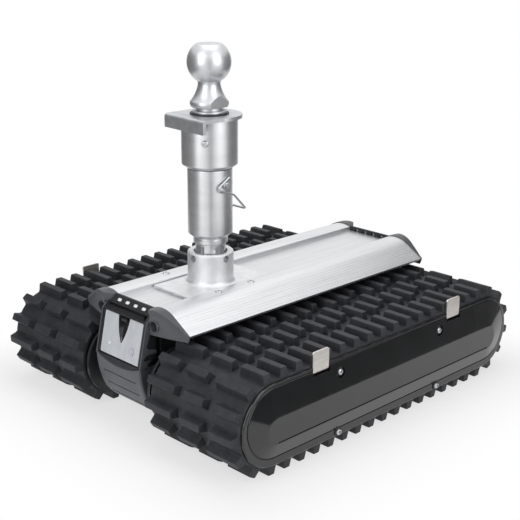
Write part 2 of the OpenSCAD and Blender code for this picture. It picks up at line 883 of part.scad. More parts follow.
module deck() {
    color(aluminium)
        difference() {
            along_y(-deck_end, deck_len) {
                deck_half();
                mirror([1, 0])
                    deck_half();
                translate([-channel_w / 2 - deck_t / 2, deck_low_z])
                    square([channel_w + deck_t, deck_t]);
            }
            base_screw_places()
                translate([0, 0, channel_z - 2 * deck_t])
                    cylinder(h = 3 * deck_t, d = base_screw_d + 2 * seat_fit);
            deck_screw_places() {
                translate([0, 0, rib_low_z - cut])
                    cylinder(h = ridge_r, d = deck_screw_d + 2 * seat_fit);
                translate([0, 0, deck_screw_z])
                    cylinder(h = deck_t, d = 2 * deck_screw_d + 1);
            }
        }
}

module deck_screw_places() {
    for (x = [-1, 1], y = [-1, 1])
        translate([x * cap_screw_x, -deck_screw_mid + y * deck_screw_l / 2, 0])
            children();
}

module deck_screws() {
    head_h = 0.4 * deck_screw_d;
    low_z = rib_low_z - flange_t;
    color(aluminium)
        deck_screw_places() {
            translate([0, 0, low_z])
                cylinder(h = deck_screw_z - low_z, d = deck_screw_d);
            difference() {
                translate([0, 0, deck_screw_z])
                    cylinder(h = head_h, d = 2 * deck_screw_d);
                translate([0, 0, deck_screw_z + head_h / 2])
                    cylinder(h = head_h, d = 0.8 * deck_screw_d, $fn = 6);
            }
        }
}

// Black end cap: a lip that follows the wings, a filled face under each wing, and a slotted wall
module cap_half() {
    wing_up_dir = [sin(wing_slope), cos(wing_slope)];
    ridge = [ridge_x, ridge_z];
    tip = [wing_x, wing_tip_z];
    polygon([[channel_w / 2, cap_low_z], [wing_x - 2, cap_low_z], tip - deck_t * wing_up_dir,
             tip + cap_proud * wing_up_dir, ridge + (ridge_r + cap_proud) * wing_up_dir,
             ridge + [0, ridge_r - deck_t / 2], [channel_w / 2, ridge_edge_z - deck_t / 2]]);
    intersection() {
        translate(ridge)
            circle(r = ridge_r + 0.7 * cap_proud);
        translate([channel_w / 2, cap_low_z])
            square([wing_start_x - channel_w / 2, ridge_r]);
    }
}

module end_cap(end) {
    slot_z = channel_z + 0.3 - slot_h / 2;
    reach_y = deck_end + 2 * cap_reach;
    color(black_plastic)
        facing(-end)
            difference() {
                union() {
                    intersection() {
                        along_y(-deck_end - cap_reach, cap_reach) {
                            cap_half();
                            mirror([1, 0])
                                cap_half();
                        }
                        translate([0, cap_plan_r - deck_end - cap_reach, 0])
                            cylinder(h = 2 * channel_z, r = cap_plan_r, $fn = 256);
                    }
                    translate([-channel_w / 2 - cut, -deck_end - cap_wall, hood_z])
                        cube([channel_w + 2 * cut, cap_wall, ridge_edge_z + cap_proud - hood_z]);
                }
                translate([-body_w / 2 - part_gap, -reach_y, cap_low_z - cut])
                    cube([body_w + 2 * part_gap, reach_y, hood_z + part_gap - cap_low_z + cut]);
                for (i = [-1.5 : 1 : 1.5])
                    translate([i * slot_pitch - slot_w / 2, -reach_y, slot_z])
                        cube([slot_w, reach_y, slot_h]);
                for (x = [-cap_screw_x, cap_screw_x])
                    translate([x, -deck_end - cap_seat, cap_screw_z])
                        rotate([90, 0, 0]) {
                            cylinder(h = 2 * cap_reach, d = cap_recess_d);
                            translate([0, 0, -2 * cap_seat])
                                cylinder(h = 4 * cap_seat, d = cap_screw_d + 2 * seat_fit);
                        }
            }
}

module end_cap_screws() {
    head_h = 0.5 * cap_screw_d;
    thread_l = cap_seat + 3 * cap_screw_d;
    color(steel)
        for (end = [-1, 1], x = [-cap_screw_x, cap_screw_x])
            translate([x, end * (deck_end + cap_seat), cap_screw_z])
                rotate([-90 * end, 0, 0]) {
                    difference() {
                        cylinder(h = head_h, d = 1.7 * cap_screw_d);
                        translate([0, 0, head_h / 2])
                            cylinder(h = head_h, d = 0.8 * cap_screw_d, $fn = 6);
                    }
                    translate([0, 0, -thread_l])
                        cylinder(h = thread_l, d = cap_screw_d);
                }
}

module base_screw_places() {
    for (x = [-1, 1], y = [-1, 1])
        translate([x * base_screw_w / 2, -mast_y + y * base_screw_l / 2, 0])
            children();
}

// Body between the tracks: two side walls, a shelf under the battery, a wall behind it, and two flanges
// that the deck's ribs are screwed to
module body_shell() {
    y0 = bezel_y + cap_wall + 2;
    y1 = body_end;
    floor_z = belly_z + body_t;
    shelf_end = face_y + battery_l + 20;
    flange_x = cap_screw_x + rib_w / 2 - 1.5;
    flange_l = deck_screw_l + 5 * deck_screw_d;
    color(black_plastic)
        difference() {
            union() {
                for (x = [-body_w / 2, body_w / 2 - body_t])
                    translate([x, y0, floor_z])
                        cube([body_t, y1 - y0, deck_low_z - floor_z]);
                translate([-body_w / 2, y0, bay_z - body_t])
                    cube([body_w, shelf_end - y0, body_t]);
                translate([-body_w / 2, shelf_end, floor_z])
                    cube([body_w, body_t, deck_low_z - floor_z]);
                for (x = [-1, 1])
                    translate([x > 0 ? body_w / 2 - body_t : -flange_x,
                               -deck_screw_mid - flange_l / 2, rib_low_z - flange_t])
                        cube([flange_x - body_w / 2 + body_t, flange_l, flange_t]);
            }
            deck_screw_places()
                translate([0, 0, rib_low_z - 2 * flange_t])
                    cylinder(h = 3 * flange_t, d = deck_screw_d + 2 * seat_fit);
            for (x = [-body_w, 0])
                translate([0, half_base, axis_z])
                    rod_x(x, body_w, shaft_d + 4);
            translate([-body_w / 4, shelf_end - cut, axis_z - 18])
                cube([body_w / 2, body_t + 2 * cut, 36]);
        }
}

module belly_plate() {
    y0 = bezel_y + cap_wall + 2;
    color(black_plastic)
        translate([-body_w / 2, y0, belly_z])
            cube([body_w, body_end - y0, body_t]);
}

// Lets a child be drawn flat: x across the panel, y down from its top edge, z out of its face
module on_face() {
    translate([0, face_y, face_z])
        rotate([90 - face_lean, 0, 0])
            mirror([0, 1, 0])
                children();
}

module bezel_side(step) {
    polygon([[bezel_y, hood_z], [face_y - step + (hood_z - face_z) * tan(face_lean), hood_z],
             [front_y - step, seam_z], [bezel_y, seam_z]]);
}

// Frame round the control panel, open the way the battery slides out
module front_bezel() {
    half = body_w / 2 - cheek_t - part_gap;
    low_z = face_z - face_h * cos(face_lean) - face_t * sin(face_lean) - face_gap;
    color(black_plastic)
        difference() {
            along_x(-half, 2 * half)
                bezel_side(bezel_step);
            translate([-face_w / 2 - face_gap, 2 * face_y, low_z])
                cube([face_w + 2 * face_gap, -2 * face_y, face_z + face_gap - low_z]);
        }
}

module bow_block(low_z, back_y) {
    intersection() {
        translate([-body_w / 2, bow_y - 2 * bow_r, low_z])
            cube([body_w, 2 * bow_r - bow_y + back_y, seam_z - low_z - part_gap]);
        translate([0, bow_y - bow_r + bow_plan_r, 0])
            cylinder(h = hood_z, r = bow_plan_r);
        translate([0, bow_y, seam_z])
            rod_x(-body_w, 2 * body_w, 2 * bow_r);
    }
}

module bow_cover(back_y) {
    low_z = belly_z + 4;
    gap_z = (seam_z - low_z) / (bow_lines + 1);
    difference() {
        bow_block(low_z, back_y);
        for (i = [1 : bow_lines])
            intersection() {
                translate([-body_w, bow_y - 2 * bow_r, low_z + i * gap_z])
                    cube([2 * body_w, 4 * bow_r, groove_w]);
                difference() {
                    translate([0, bow_y - bow_r + bow_plan_r, 0])
                        cylinder(h = hood_z, r = bow_plan_r + bow_r);
                    translate([0, bow_y - bow_r + bow_plan_r + bow_sag(low_z + i * gap_z), 0])
                        cylinder(h = hood_z, r = bow_plan_r - groove_d);
                }
            }
    }
}

// Front cover: the bow, and a cheek up each side of the bezel
module front_bow_cover() {
    color(grey_plastic) {
        bow_cover(bezel_y);
        for (x = [-body_w / 2, body_w / 2 - cheek_t])
            translate([0, 0, -2 * part_gap])
                along_x(x, cheek_t)
                    bezel_side(bezel_step + cheek_step);
    }
}

// Rear cover: the same bow below the seam, a plain leaning panel above it, and a flange over the body
module rear_bow_cover() {
    back_y = -body_end;
    top_y = min(face_y + (hood_z - face_z) * tan(face_lean), back_y - body_t);
    color(grey_plastic)
        mirror([0, 1, 0]) {
            bow_cover(back_y);
            along_x(-body_w / 2, body_w)
                polygon([[bezel_y, hood_z], [top_y, hood_z], [front_y, seam_z - 2 * part_gap],
                         [back_y, seam_z - 2 * part_gap], [back_y, deck_low_z], [bezel_y, deck_low_z]]);
        }
}

module scoop_outline(grow) {
    tip_r = 3;
    hull() {
        translate([-scoop_w / 2 - grow, -grow])
            square([scoop_w + 2 * grow, 1]);
        translate([0, scoop_h - tip_r])
            circle(r = tip_r + grow, $fn = 32);
    }
}

module battery_pack() {
    back_y = face_y + battery_l;
    lean = tan(face_lean);
    half = face_w / 2 - 1;
    color(black_plastic)
        difference() {
            along_x(-half, 2 * half)
                polygon([[face_y + face_t / cos(face_lean) + lean, face_z - 1],
                         [back_y, face_z - 1],
                         [back_y, bay_z + 0.3],
                         [face_y + face_t / cos(face_lean) - (face_z - bay_z - 0.3) * lean, bay_z + 0.3]]);
            on_face() {
                translate([0, 0, -scoop_d - face_t])
                    linear_extrude(height = 2 * scoop_d)
                        scoop_outline(0.3);
                translate([button_x, button_down, -3 * face_t])
                    cylinder(h = 3 * face_t, d = button_d + 1);
                translate([-led_x, button_down, -2 * face_t])
                    cylinder(h = 2 * face_t, d = led_d + 2 * seat_fit);
            }
        }
}

module control_panel() {
    color(pale_plastic)
        on_face()
            difference() {
                translate([-face_w / 2, 0, -face_t])
                    cube([face_w, face_h, face_t]);
                translate([0, 0, -2 * face_t])
                    linear_extrude(height = 4 * face_t)
                        scoop_outline(0.3);
                translate([button_x, button_down, -2 * face_t])
                    cylinder(h = 4 * face_t, d = button_d + 2 * run_fit);
                translate([-led_x, button_down, -2 * face_t])
                    cylinder(h = 4 * face_t, d = led_d + 2 * seat_fit);
            }
}

module thumb_scoop() {
    color(gloss_black)
        on_face()
            difference() {
                translate([0, 0, -scoop_d])
                    linear_extrude(height = scoop_d)
                        scoop_outline(0);
                translate([0, 0, -scoop_d + scoop_wall])
                    linear_extrude(height = scoop_d)
                        scoop_outline(-scoop_wall);
            }
}

module status_lamp() {
    color("white")
        on_face()
            translate([-led_x, button_down, -face_t - 1])
                cylinder(h = face_t + 1.3, d = led_d);
}

module power_button() {
    color(pale_plastic)
        on_face()
            translate([button_x, button_down, -face_t - 1])
                cylinder(h = face_t + 1 + button_travel + 0.3, d = button_d);
}

module battery_latch() {
    color(black_plastic)
        on_face()
            translate([-latch_w / 2, scoop_wall + 0.3, -scoop_d + scoop_wall + 0.4])
                cube([latch_w, 4, scoop_d - 1.5]);
}

module controller_board() {
    board_y = face_y + battery_l + board_gap;
    hole_in = 4;
    color(copper_green)
        translate([-body_w / 2 + body_t + 3, board_y, deck_low_z - 6])
            cube([body_w - 2 * body_t - 6, board_l, 2]);
    color(steel)
        for (x = [-1, 1], y = [hole_in, board_l - hole_in])
            translate([x * (body_w / 2 - body_t - 8), board_y + y, deck_low_z - 4])
                cylinder(h = 4, d = 5);
}

// Base plate and socket in one casting, with a fillet at the foot and a bevelled rim
module mast_socket() {
    r = socket_d / 2;
    bore_r = bush_r + bush_wall + seat_fit;
    bevel = 1.5;
    color(cast_grey)
        translate([0, -mast_y, 0])
            difference() {
                union() {
                    translate([-base_w / 2, -base_l / 2, channel_z])
                        cube([base_w, base_l, base_t]);
                    rotate_extrude()
                        difference() {
                            polygon([[0, base_z - cut], [r + socket_fillet, base_z - cut],
                                     [r + socket_fillet, base_z], [r, base_z + socket_fillet],
                                     [r, socket_z - bevel], [r - bevel, socket_z], [0, socket_z]]);
                            translate([r + socket_fillet, base_z + socket_fillet])
                                circle(r = socket_fillet);
                        }
                }
                translate([0, 0, channel_z - cut])
                    cylinder(h = socket_z, r = bore_r);
                for (turn = [0, 90])
                    translate([0, 0, socket_z - lock_hole_down])
                        rotate([90, 0, turn])
                            cylinder(h = 2 * socket_d, d = lock_hole_d, center = true);
                translate([0, mast_y, 0])
                    base_screw_places()
                        translate([0, 0, channel_z - cut])
                            cylinder(h = base_t - base_skin + cut, d = base_screw_d + 2 * seat_fit);
            }
}

// Screws that come up through the deck into the base plate
module socket_screws() {
    head_h = 0.45 * base_screw_d;
    color(cast_grey)
        base_screw_places() {
            translate([0, 0, deck_low_z])
                cylinder(h = deck_t + base_t - base_skin, d = base_screw_d);
            difference() {
                translate([0, 0, deck_low_z - head_h])
                    cylinder(h = head_h, d = 1.9 * base_screw_d);
                translate([0, 0, deck_low_z - 1.5 * head_h])
                    cylinder(h = head_h, d = 0.7 * base_screw_d, $fn = 6);
            }
        }
}

module socket_bush() {
    hole_gap = 2;
    bush_l = socket_z - channel_z - lock_hole_down - lock_hole_d / 2 - hole_gap;
    color(steel)
        translate([0, -mast_y, channel_z])
            difference() {
                cylinder(h = bush_l, r = bush_r + bush_wall);
                translate([0, 0, -cut])
                    cylinder(h = socket_z, r = bush_r);
            }
}

// Lower end of the mast: the spigot in the bush, with slots under its collar
module mast_spigot() {
    slot_r = spigot_d / 2 - spigot_slot_d;
    color(steel)
        translate([0, -mast_y, 0])
            difference() {
                union() {
                    translate([0, 0, spigot_foot_z])
                        cylinder(h = collar_z - spigot_foot_z, d = spigot_d);
                    translate([0, 0, collar_z])
                        cylinder(h = collar_h, d = collar_d);
                }
                for (i = [0 : spigot_slots - 1])
                    rotate(i * 360 / spigot_slots)
                        translate([slot_r, -spigot_slot_w / 2, socket_z - spigot_up / 4])
                            cube([spigot_d, spigot_slot_w, spigot_up]);
            }
}

module mast_tube() {
    r = tube_d / 2;
    color(steel)
        translate([0, -mast_y, 0])
            difference() {
                rotate_extrude()
                    polygon([[0, tube_z], [collar_d / 2 - 0.2, tube_z], [r, tube_z + tube_chamfer],
                             [r, tube_top_z], [0, tube_top_z]]);
                translate([0, 0, tube_z + tube_floor])
                    cylinder(h = tube_h, r = post_d / 2 + run_fit);
                translate([0, 0, pin_z])
                    rod_x(-tube_d, 2 * tube_d, pin_d + 2 * run_fit);
            }
}

// Post with the long slot that the lock pin runs in
module head_post() {
    slot_d = pin_d + 0.8;
    post_top_z = sleeve_z + sleeve_floor;
    color(steel)
        translate([0, -mast_y, 0])
            difference() {
                translate([0, 0, post_foot_z])
                    cylinder(h = post_top_z - post_foot_z, d = post_d);
                for (z = [pin_z, pin_z - head_lift])
                    translate([0, 0, z])
                        rod_x(-post_d, 2 * post_d, slot_d);
                translate([-post_d, -slot_d / 2, pin_z - head_lift])
                    cube([2 * post_d, slot_d, head_lift]);
            }
}

module head_sleeve() {
    r = sleeve_d / 2;
    color(steel)
        translate([0, -mast_y, 0])
            difference() {
                rotate_extrude()
                    polygon([[0, sleeve_z], [tube_d / 2, sleeve_z], [r, sleeve_z + sleeve_chamfer],
                             [r, top_z], [0, top_z]]);
                translate([0, 0, sleeve_z - cut])
                    cylinder(h = sleeve_floor + cut, d = post_d + 2 * seat_fit);
                translate([0, 0, sleeve_z + sleeve_floor])
                    cylinder(h = sleeve_h, r = r - sleeve_wall);
                sleeve_screw_place()
                    cylinder(h = 2 * sleeve_wall, d = sleeve_screw_d / 2 + 2 * seat_fit, center = true);
            }
}

module sleeve_screw_place() {
    translate([0, 0, top_z - sleeve_screw_down])
        rotate([90, 0, sleeve_screw_turn])
            translate([0, 0, sleeve_d / 2])
                children();
}

module sleeve_screw() {
    color(zinc)
        translate([0, -mast_y, 0])
            sleeve_screw_place() {
                translate([0, 0, -sleeve_wall])
                    cylinder(h = sleeve_wall + 1, d = sleeve_screw_d / 2);
                translate([0, 0, 0.1])
                    difference() {
                        cylinder(h = 2.4, d = sleeve_screw_d);
                        translate([0, 0, 1.2])
                            cylinder(h = 2, d = sleeve_screw_d / 2, $fn = 6);
                    }
            }
}

// Bent plate: round behind the ball, square in front, with a lip turned down
module head_plate() {
    color(zinc)
        translate([0, -mast_y, top_z])
            rotate(-top_turn)
                difference() {
                    union() {
                        cylinder(h = top_t, d = top_d);
                        translate([-top_w / 2, -lip_out, 0])
                            cube([top_w, lip_out, top_t]);
                        translate([-top_w / 2, -lip_out, -lip_h])
                            cube([top_w, top_t, lip_h + cut]);
                    }
                    translate([0, 0, -cut])
                        cylinder(h = top_t + 2 * cut, d = shank_d + 2 * seat_fit);
                }
}

module ball_washer() {
    ring_h = washer_t / 2;
    color(zinc)
        translate([0, -mast_y, washer_z])
            difference() {
                union() {
                    cylinder(h = ring_h, d = washer_d);
                    translate([0, 0, ring_h])
                        cylinder(h = washer_t - ring_h, d = washer_d - 4);
                }
                translate([0, 0, -cut])
                    cylinder(h = washer_t + 2 * cut, d = shank_d + 2 * seat_fit);
            }
}

// Ball, waisted neck, foot with wrench flats, and the shank that takes the nut
module tow_ball() {
    r = ball_d / 2;
    neck_r = neck_d / 2;
    flat_h = sqrt(r * r - ball_flat_d * ball_flat_d / 4);
    foot_r = foot_d / 2;
    foot_bevel = 1.8;
    chord = norm([foot_r - neck_r, flare_h]);
    hollow = sqrt(flare_r * flare_r - chord * chord / 4) / chord;
    shank_low = nut_z - 3 - foot_z;
    color(steel)
        translate([0, -mast_y, foot_z])
            difference() {
                union() {
                    rotate_extrude()
                        intersection() {
                            translate([0, ball_up])
                                circle(r = r);
                            translate([0, ball_up - r])
                                square([r, r + flat_h]);
                        }
                    rotate_extrude()
                        difference() {
                            polygon([[0, 0], [foot_r - foot_bevel, 0], [foot_r, 2 * foot_bevel],
                                     [foot_r, foot_h], [neck_r, foot_h + flare_h],
                                     [neck_r, ball_up - r / 2], [0, ball_up - r / 2]]);
                            translate([(foot_r + neck_r) / 2 + hollow * flare_h,
                                       foot_h + flare_h / 2 + hollow * (foot_r - neck_r)])
                                circle(r = flare_r);
                        }
                    translate([0, 0, shank_low])
                        cylinder(h = -shank_low + cut, d = shank_d);
                }
                for (side = [0, 180])
                    rotate(side)
                        translate([flats_w / 2, -foot_d, -cut])
                            cube([foot_d, 2 * foot_d, foot_h + 12]);
            }
}

module ball_nut() {
    color(zinc)
        translate([0, -mast_y, nut_z])
            difference() {
                cylinder(h = nut_h, d = nut_w / cos(30), $fn = 6);
                translate([0, 0, -cut])
                    cylinder(h = nut_h + 2 * cut, d = shank_d + 2 * seat_fit);
            }
}

module lock_pin() {
    tail = tube_d / 2 + 2;
    shoulder = tube_d / 2 - 1;
    color(steel)
        translate([0, -mast_y, pin_z]) {
            rod_x(-tail, tail + shoulder, pin_d);
            rod_x(shoulder - cut, pin_out + 1 + cut, pin_end_d);
        }
}

module wire_run(a, b) {
    d = b - a;
    translate(a)
        rotate([0, acos(d[2] / norm(d)), atan2(d[1], d[0])])
            cylinder(h = norm(d), d = wire_d);
}

// Wire bail: an eye on the pin's end, a nose bent round it, a leg down and back, an arm behind the tube
module pin_bail() {
    points = [[wire_x, hug * 0.9, hug * 1.6], [wire_x, -hug * 2.2, -hug * 0.3],
              [wire_x, -hug * 2.2, -hug * 1.3], [wire_x, hug * 2.2, -hug * 2.6],
              [wire_x, bail_back, -bail_drop], [-tube_d / 4, bail_back, -bail_drop]];
    last = len(points) - 1;
    color(steel)
        translate([0, -mast_y, pin_z]) {
            for (i = [1 : last])
                wire_run(points[i - 1], points[i]);
            for (i = [1 : last - 1])
                translate(points[i])
                    sphere(d = bend_d);
            difference() {
                rod_x(wire_x - wire_d / 2, wire_d, pin_end_d + 2 * eye_wall);
                rod_x(wire_x - wire_d, 2 * wire_d, pin_end_d + 2 * run_fit);
            }
        }
}

deck();
end_cap(-1);  // front_end_cap
end_cap(1);  // rear_end_cap
end_cap_screws();
body_shell();
belly_plate();
front_bezel();
front_bow_cover();
rear_bow_cover();
battery_pack();
control_panel();
thumb_scoop();
status_lamp();
power_button();
battery_latch();
controller_board();
mast_socket();
socket_screws();
deck_screws();
socket_bush();
mast_spigot();
mast_tube();
head_post();
head_sleeve();
head_plate();
sleeve_screw();
tow_ball();
ball_washer();
ball_nut();
lock_pin();
pin_bail();
belt(false);  // left_belt
inner_plate(false);  // left_inner_plate
outer_plate(false);  // left_outer_plate
sprocket(false);  // left_sprocket
drive_shaft(false);  // left_drive_shaft
bearings(false);  // left_bearings
idler(false);  // left_idler
roller(false, -road_y);  // left_front_roller
roller(false, road_y);  // left_rear_roller
axles(false);  // left_axles
gear_motor(false);  // left_gear_motor
side_cover(false);  // left_side_cover
cover_screws(false);  // left_cover_screws
cover_tabs(false);  // left_cover_tabs
belt(true);  // right_belt
inner_plate(true);  // right_inner_plate
outer_plate(true);  // right_outer_plate
sprocket(true);  // right_sprocket
drive_shaft(true);  // right_drive_shaft
bearings(true);  // right_bearings
idler(true);  // right_idler
roller(true, -road_y);  // right_front_roller
roller(true, road_y);  // right_rear_roller
axles(true);  // right_axles
gear_motor(true);  // right_gear_motor
side_cover(true);  // right_side_cover
cover_screws(true);  // right_cover_screws
cover_tabs(true);  // right_cover_tabs
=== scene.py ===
"""Studio picture of a battery caravan mover on two rubber tracks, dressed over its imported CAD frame."""

import json
import math

import bmesh
import bpy
from mathutils import Matrix, Vector


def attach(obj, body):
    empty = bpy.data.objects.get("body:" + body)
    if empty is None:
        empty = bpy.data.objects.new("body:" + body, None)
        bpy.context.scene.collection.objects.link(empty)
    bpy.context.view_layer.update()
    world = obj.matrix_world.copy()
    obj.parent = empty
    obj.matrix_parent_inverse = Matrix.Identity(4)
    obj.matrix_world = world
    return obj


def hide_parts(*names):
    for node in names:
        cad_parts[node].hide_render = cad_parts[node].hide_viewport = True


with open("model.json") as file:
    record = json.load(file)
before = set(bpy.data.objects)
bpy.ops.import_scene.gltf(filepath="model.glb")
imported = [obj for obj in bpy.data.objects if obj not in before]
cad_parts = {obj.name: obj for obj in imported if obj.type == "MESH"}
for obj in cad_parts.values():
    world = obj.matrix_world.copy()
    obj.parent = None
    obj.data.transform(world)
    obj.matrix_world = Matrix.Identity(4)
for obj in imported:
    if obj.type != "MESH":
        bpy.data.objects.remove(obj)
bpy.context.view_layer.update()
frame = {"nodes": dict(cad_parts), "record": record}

MM = 0.001

# Sizes and places in millimetres; a piece that replaces a CAD node takes them from it

# Belts
BLOCK_PITCH = 24.0
BELT_BLOCKS = 43
SPROCKET_TEETH = 12
CORD_DEPTH = 3.0
CARCASS_UP = 2.0
LUG_H = 10.0
LUG_FOOT = 11.5
LUG_TIP = 8.5
LUG_ROWS = 45
LUG_INNER_W = 45.0
LUG_MID_W = 33.0
LUG_GAP = 12.0
BELT_IN_X = 62.5
BELT_OUT_X = 200.5
BLOCK_H = 8.0
BLOCK_W = 16.0
BLOCK_L = 9.0
PITCH_R = SPROCKET_TEETH * BLOCK_PITCH / (2 * math.pi)
AXIS_Z = PITCH_R + CARCASS_UP + LUG_H
HALF_BASE = BLOCK_PITCH * (BELT_BLOCKS - SPROCKET_TEETH) / 4
ROW_PITCH = BLOCK_PITCH * BELT_BLOCKS / LUG_ROWS

# Side covers and their tabs
COVER_X = 201.0
RIM_X = 203.6
PANEL_X = 209.0
RIM_R = 45.5
PANEL_FOOT_R = 38.0
PANEL_FOOT_Z = AXIS_Z + 3.6
PANEL_FACE_R = 14.2
PANEL_FACE_Z = AXIS_Z - 5.0
GROOVE_W = 1.6
SCREW_Y = 88.0
SCREW_HIGH_Z = AXIS_Z + 30.0
SCREW_LOW_Z = AXIS_Z - 40.4
COVER_SCREW_R = 3.6
COVER_WASHER_R = 5.6
COVER_RECESS_R = 6.4
TAB_Y = 117.0
TAB_W = 25.0
TAB_T = 2.0
TAB_X = 201.4
TAB_FOOT_X = 186.0
TAB_FOOT_Z = AXIS_Z + 37.5
TAB_TOP_Z = 120.67
TAB_CORNER = 2.5

# Deck
DECK_END = 201.5
DECK_T = 4.0
CHANNEL_X = 33.4
CHANNEL_Z = 139.144
RIDGE_X = 46.5
RIDGE_Z = 110.512
RIDGE_R = 36.0
RIDGE_IN_ANGLE = math.asin((RIDGE_X - CHANNEL_X) / RIDGE_R)
WING_SLOPE = math.radians(31)
WING_X = 90.5
WING_GROOVES = 7
WING_GROOVE_W = 0.8
WING_GROOVE_D = 0.15
WING_RUN = (WING_X - RIDGE_X - RIDGE_R * math.sin(WING_SLOPE)) / math.cos(WING_SLOPE)
RIB_W = 10.0
RIB_LOW_Z = CHANNEL_Z - 15.1
DECK_SCREW_R = 4.0
DECK_SCREW_Y = -93.5
DECK_SCREW_STEP = 25.5

# End caps, and the slotted hood between the front one's wings
CAP_PROUD = 1.0
CAP_LOW_Z = 118.07
CAP_REACH = 18.5
CAP_PLAN_R = 238.0
CAP_WALL = 4.0
CAP_SEAT = 5.0
CAP_SCREW_X = 46.5
CAP_SCREW_Z = 129.044
CAP_SCREW_R = 3.6
CAP_RECESS_R = 5.6
CAP_LIP_H = 4.4
CAP_LIP_STEP = 1.2
CAP_RIBS = 46
HOOD_Z = CHANNEL_Z - DECK_T / 2
HOOD_LOW_Z = 130.8
HOOD_TOP_Z = RIDGE_Z + RIDGE_R * math.cos(RIDGE_IN_ANGLE) + CAP_PROUD
HOOD_TOP_Y = -DECK_END - 2.5
SLOT_PITCH = 14.4
SLOT_W = 6.6
SLOT_H = 2.8
SLOT_RISE = 0.72
SLOT_CORNER = 1.3

# Body and its bow covers
BODY_X = 40.0
CHEEK_X = 38.0
SEAM_Z = 70.0
SMILE_UP = 3.5
SMILE_CURVE = 7.0
BOW_LOW_Z = 27.0
BOW_Y = -230.6
BOW_START_Z = 85.0
BOW_R = 109.0
BOW_EDGE = 3.0
BOW_CORNER = 15.0
BOW_LINES = (61.0, 45.0, 32.5)
BOW_LINE_W = 0.7
BOW_LINE_D = 1.1
BOW_LINE_X = 29.0
BOW_TOP_EASE = 0.8
BOW_LOW_EASE = 1.5
BODY_REAR_Y = 214.0
CHEEK_DEPTH = 5.0
FLANK_TOP_Z = 98.0
FLANK_WINDOW = ((-218, 70.5), (-207, 70.5), (-202.5, 83), (-204, 88), (-212.5, 89), (-218, 84.5))
FLANK_SLOT_Y = -224.5
FLANK_SLOT_Z = 92.0
FLANK_SLOT_H = 5.5

# Control panel
FACE_Y = -218.0
FACE_Z = CHANNEL_Z - 10.0
FACE_LEAN = math.radians(12)
FACE_W = 68.0
FACE_H = 48.0
FACE_T = 3.0
FACE_CORNER = 1.8
WINDOW_LOW_Z = 80.7
SCOOP_W = 19.5
SCOOP_H = 30.0
SCOOP_D = 7.5
BUTTON_U = 19.8
BUTTON_V = 35.0
BUTTON_R = 4.0
LAMP_R = 1.5
LATCH_HIGH_V = 1.9
LATCH_LOW_V = 5.7
LATCH_PROUD = 0.35
LATCH_D = 3.8
LATCH_W = 10.0

# Mast and head
MAST_Y = -89.0
BASE_Z = CHANNEL_Z + 3.4
BASE_W = 64.0
BASE_L = 124.0
BASE_CORNER = 2.5
SOCKET_H = 37.5
SOCKET_R = 27.2
SOCKET_FILLET = 4.6
SOCKET_Z = BASE_Z + SOCKET_H
SOCKET_HOLE_R = 4.2
SOCKET_HOLE_Z = SOCKET_Z - 6.0
BUSH_R = 19.99
SPIGOT_R = 17.7
SPIGOT_UP = 10.0
SPIGOT_SLOT_W = 14.0
SPIGOT_SLOT_D = 9.0
COLLAR_R = 20.3
COLLAR_Z = SOCKET_Z + SPIGOT_UP
TUBE_Z = COLLAR_Z + 7.5
TUBE_TOP_Z = TUBE_Z + 82.0
TUBE_R = 26.2
POST_BORE_R = 20.05
SLEEVE_Z = TUBE_TOP_Z + 0.4
SLEEVE_R = 32.7
SLEEVE_BORE_R = 20.02
TOP_Z = SLEEVE_Z + 58.0
TOP_T = 4.0
TOP_R = 37.7
TOP_W = 72.0
TOP_TURN = math.radians(-4)
LIP_OUT = 37.2
LIP_H = 12.0
WASHER_Z = TOP_Z + TOP_T
WASHER_R = 20.0
# A black ring on the head plate paints the shade of the gap round the washer
SHADE_RING_R = 22.6
SHADE_RING_H = 1.6
FOOT_Z = WASHER_Z + 8.0
FOOT_R = 22.4
FOOT_H = 6.0
FLATS_W = 35.0
FLARE_H = 20.5
FLARE_R = 41.0
NECK_R = 12.8
SHANK_R = 9.5
NUT_LOW_Z = TOP_Z - 18.5
BALL_Z = FOOT_Z + 50.8
BALL_R = 25.4
BALL_FLAT_R = 14.25
PIN_Z = TUBE_TOP_Z - 16.5
PIN_R = 5.0
PIN_END_R = 3.2
WIRE_R = 1.25
WIRE_X = 28.2
BAIL_BACK = 30.0
BAIL_DROP = 33.0
BAIL_END_X = -12.4
BAIL_BEND = 3.0
EYE_BORE_R = 3.25
EYE_R = 5.0
SCREW_TURN = math.radians(39)
SLEEVE_SCREW_R = 4.0
SLEEVE_SCREW_Z = TOP_Z - 25.0

# Reach of a cutter that runs out past the whole part
FAR = 300.0


# Finishes


def colour(code):
    """Linear colour of an sRGB hex value."""
    parts = [int(code[i : i + 2], 16) / 255 for i in (1, 3, 5)]
    return [p / 12.92 if p <= 0.04045 else ((p + 0.055) / 1.055) ** 2.4 for p in parts] + [1.0]


def add(tree, kind, sockets=None, **settings):
    """Adds a shader node with its settings; a socket gets a link or a plain value."""
    made = tree.nodes.new("ShaderNode" + kind)
    for name, value in settings.items():
        setattr(made, name, value)
    for name, value in (sockets or {}).items():
        if isinstance(value, bpy.types.NodeSocket):
            tree.links.new(value, made.inputs[name])
        else:
            made.inputs[name].default_value = value
    return made


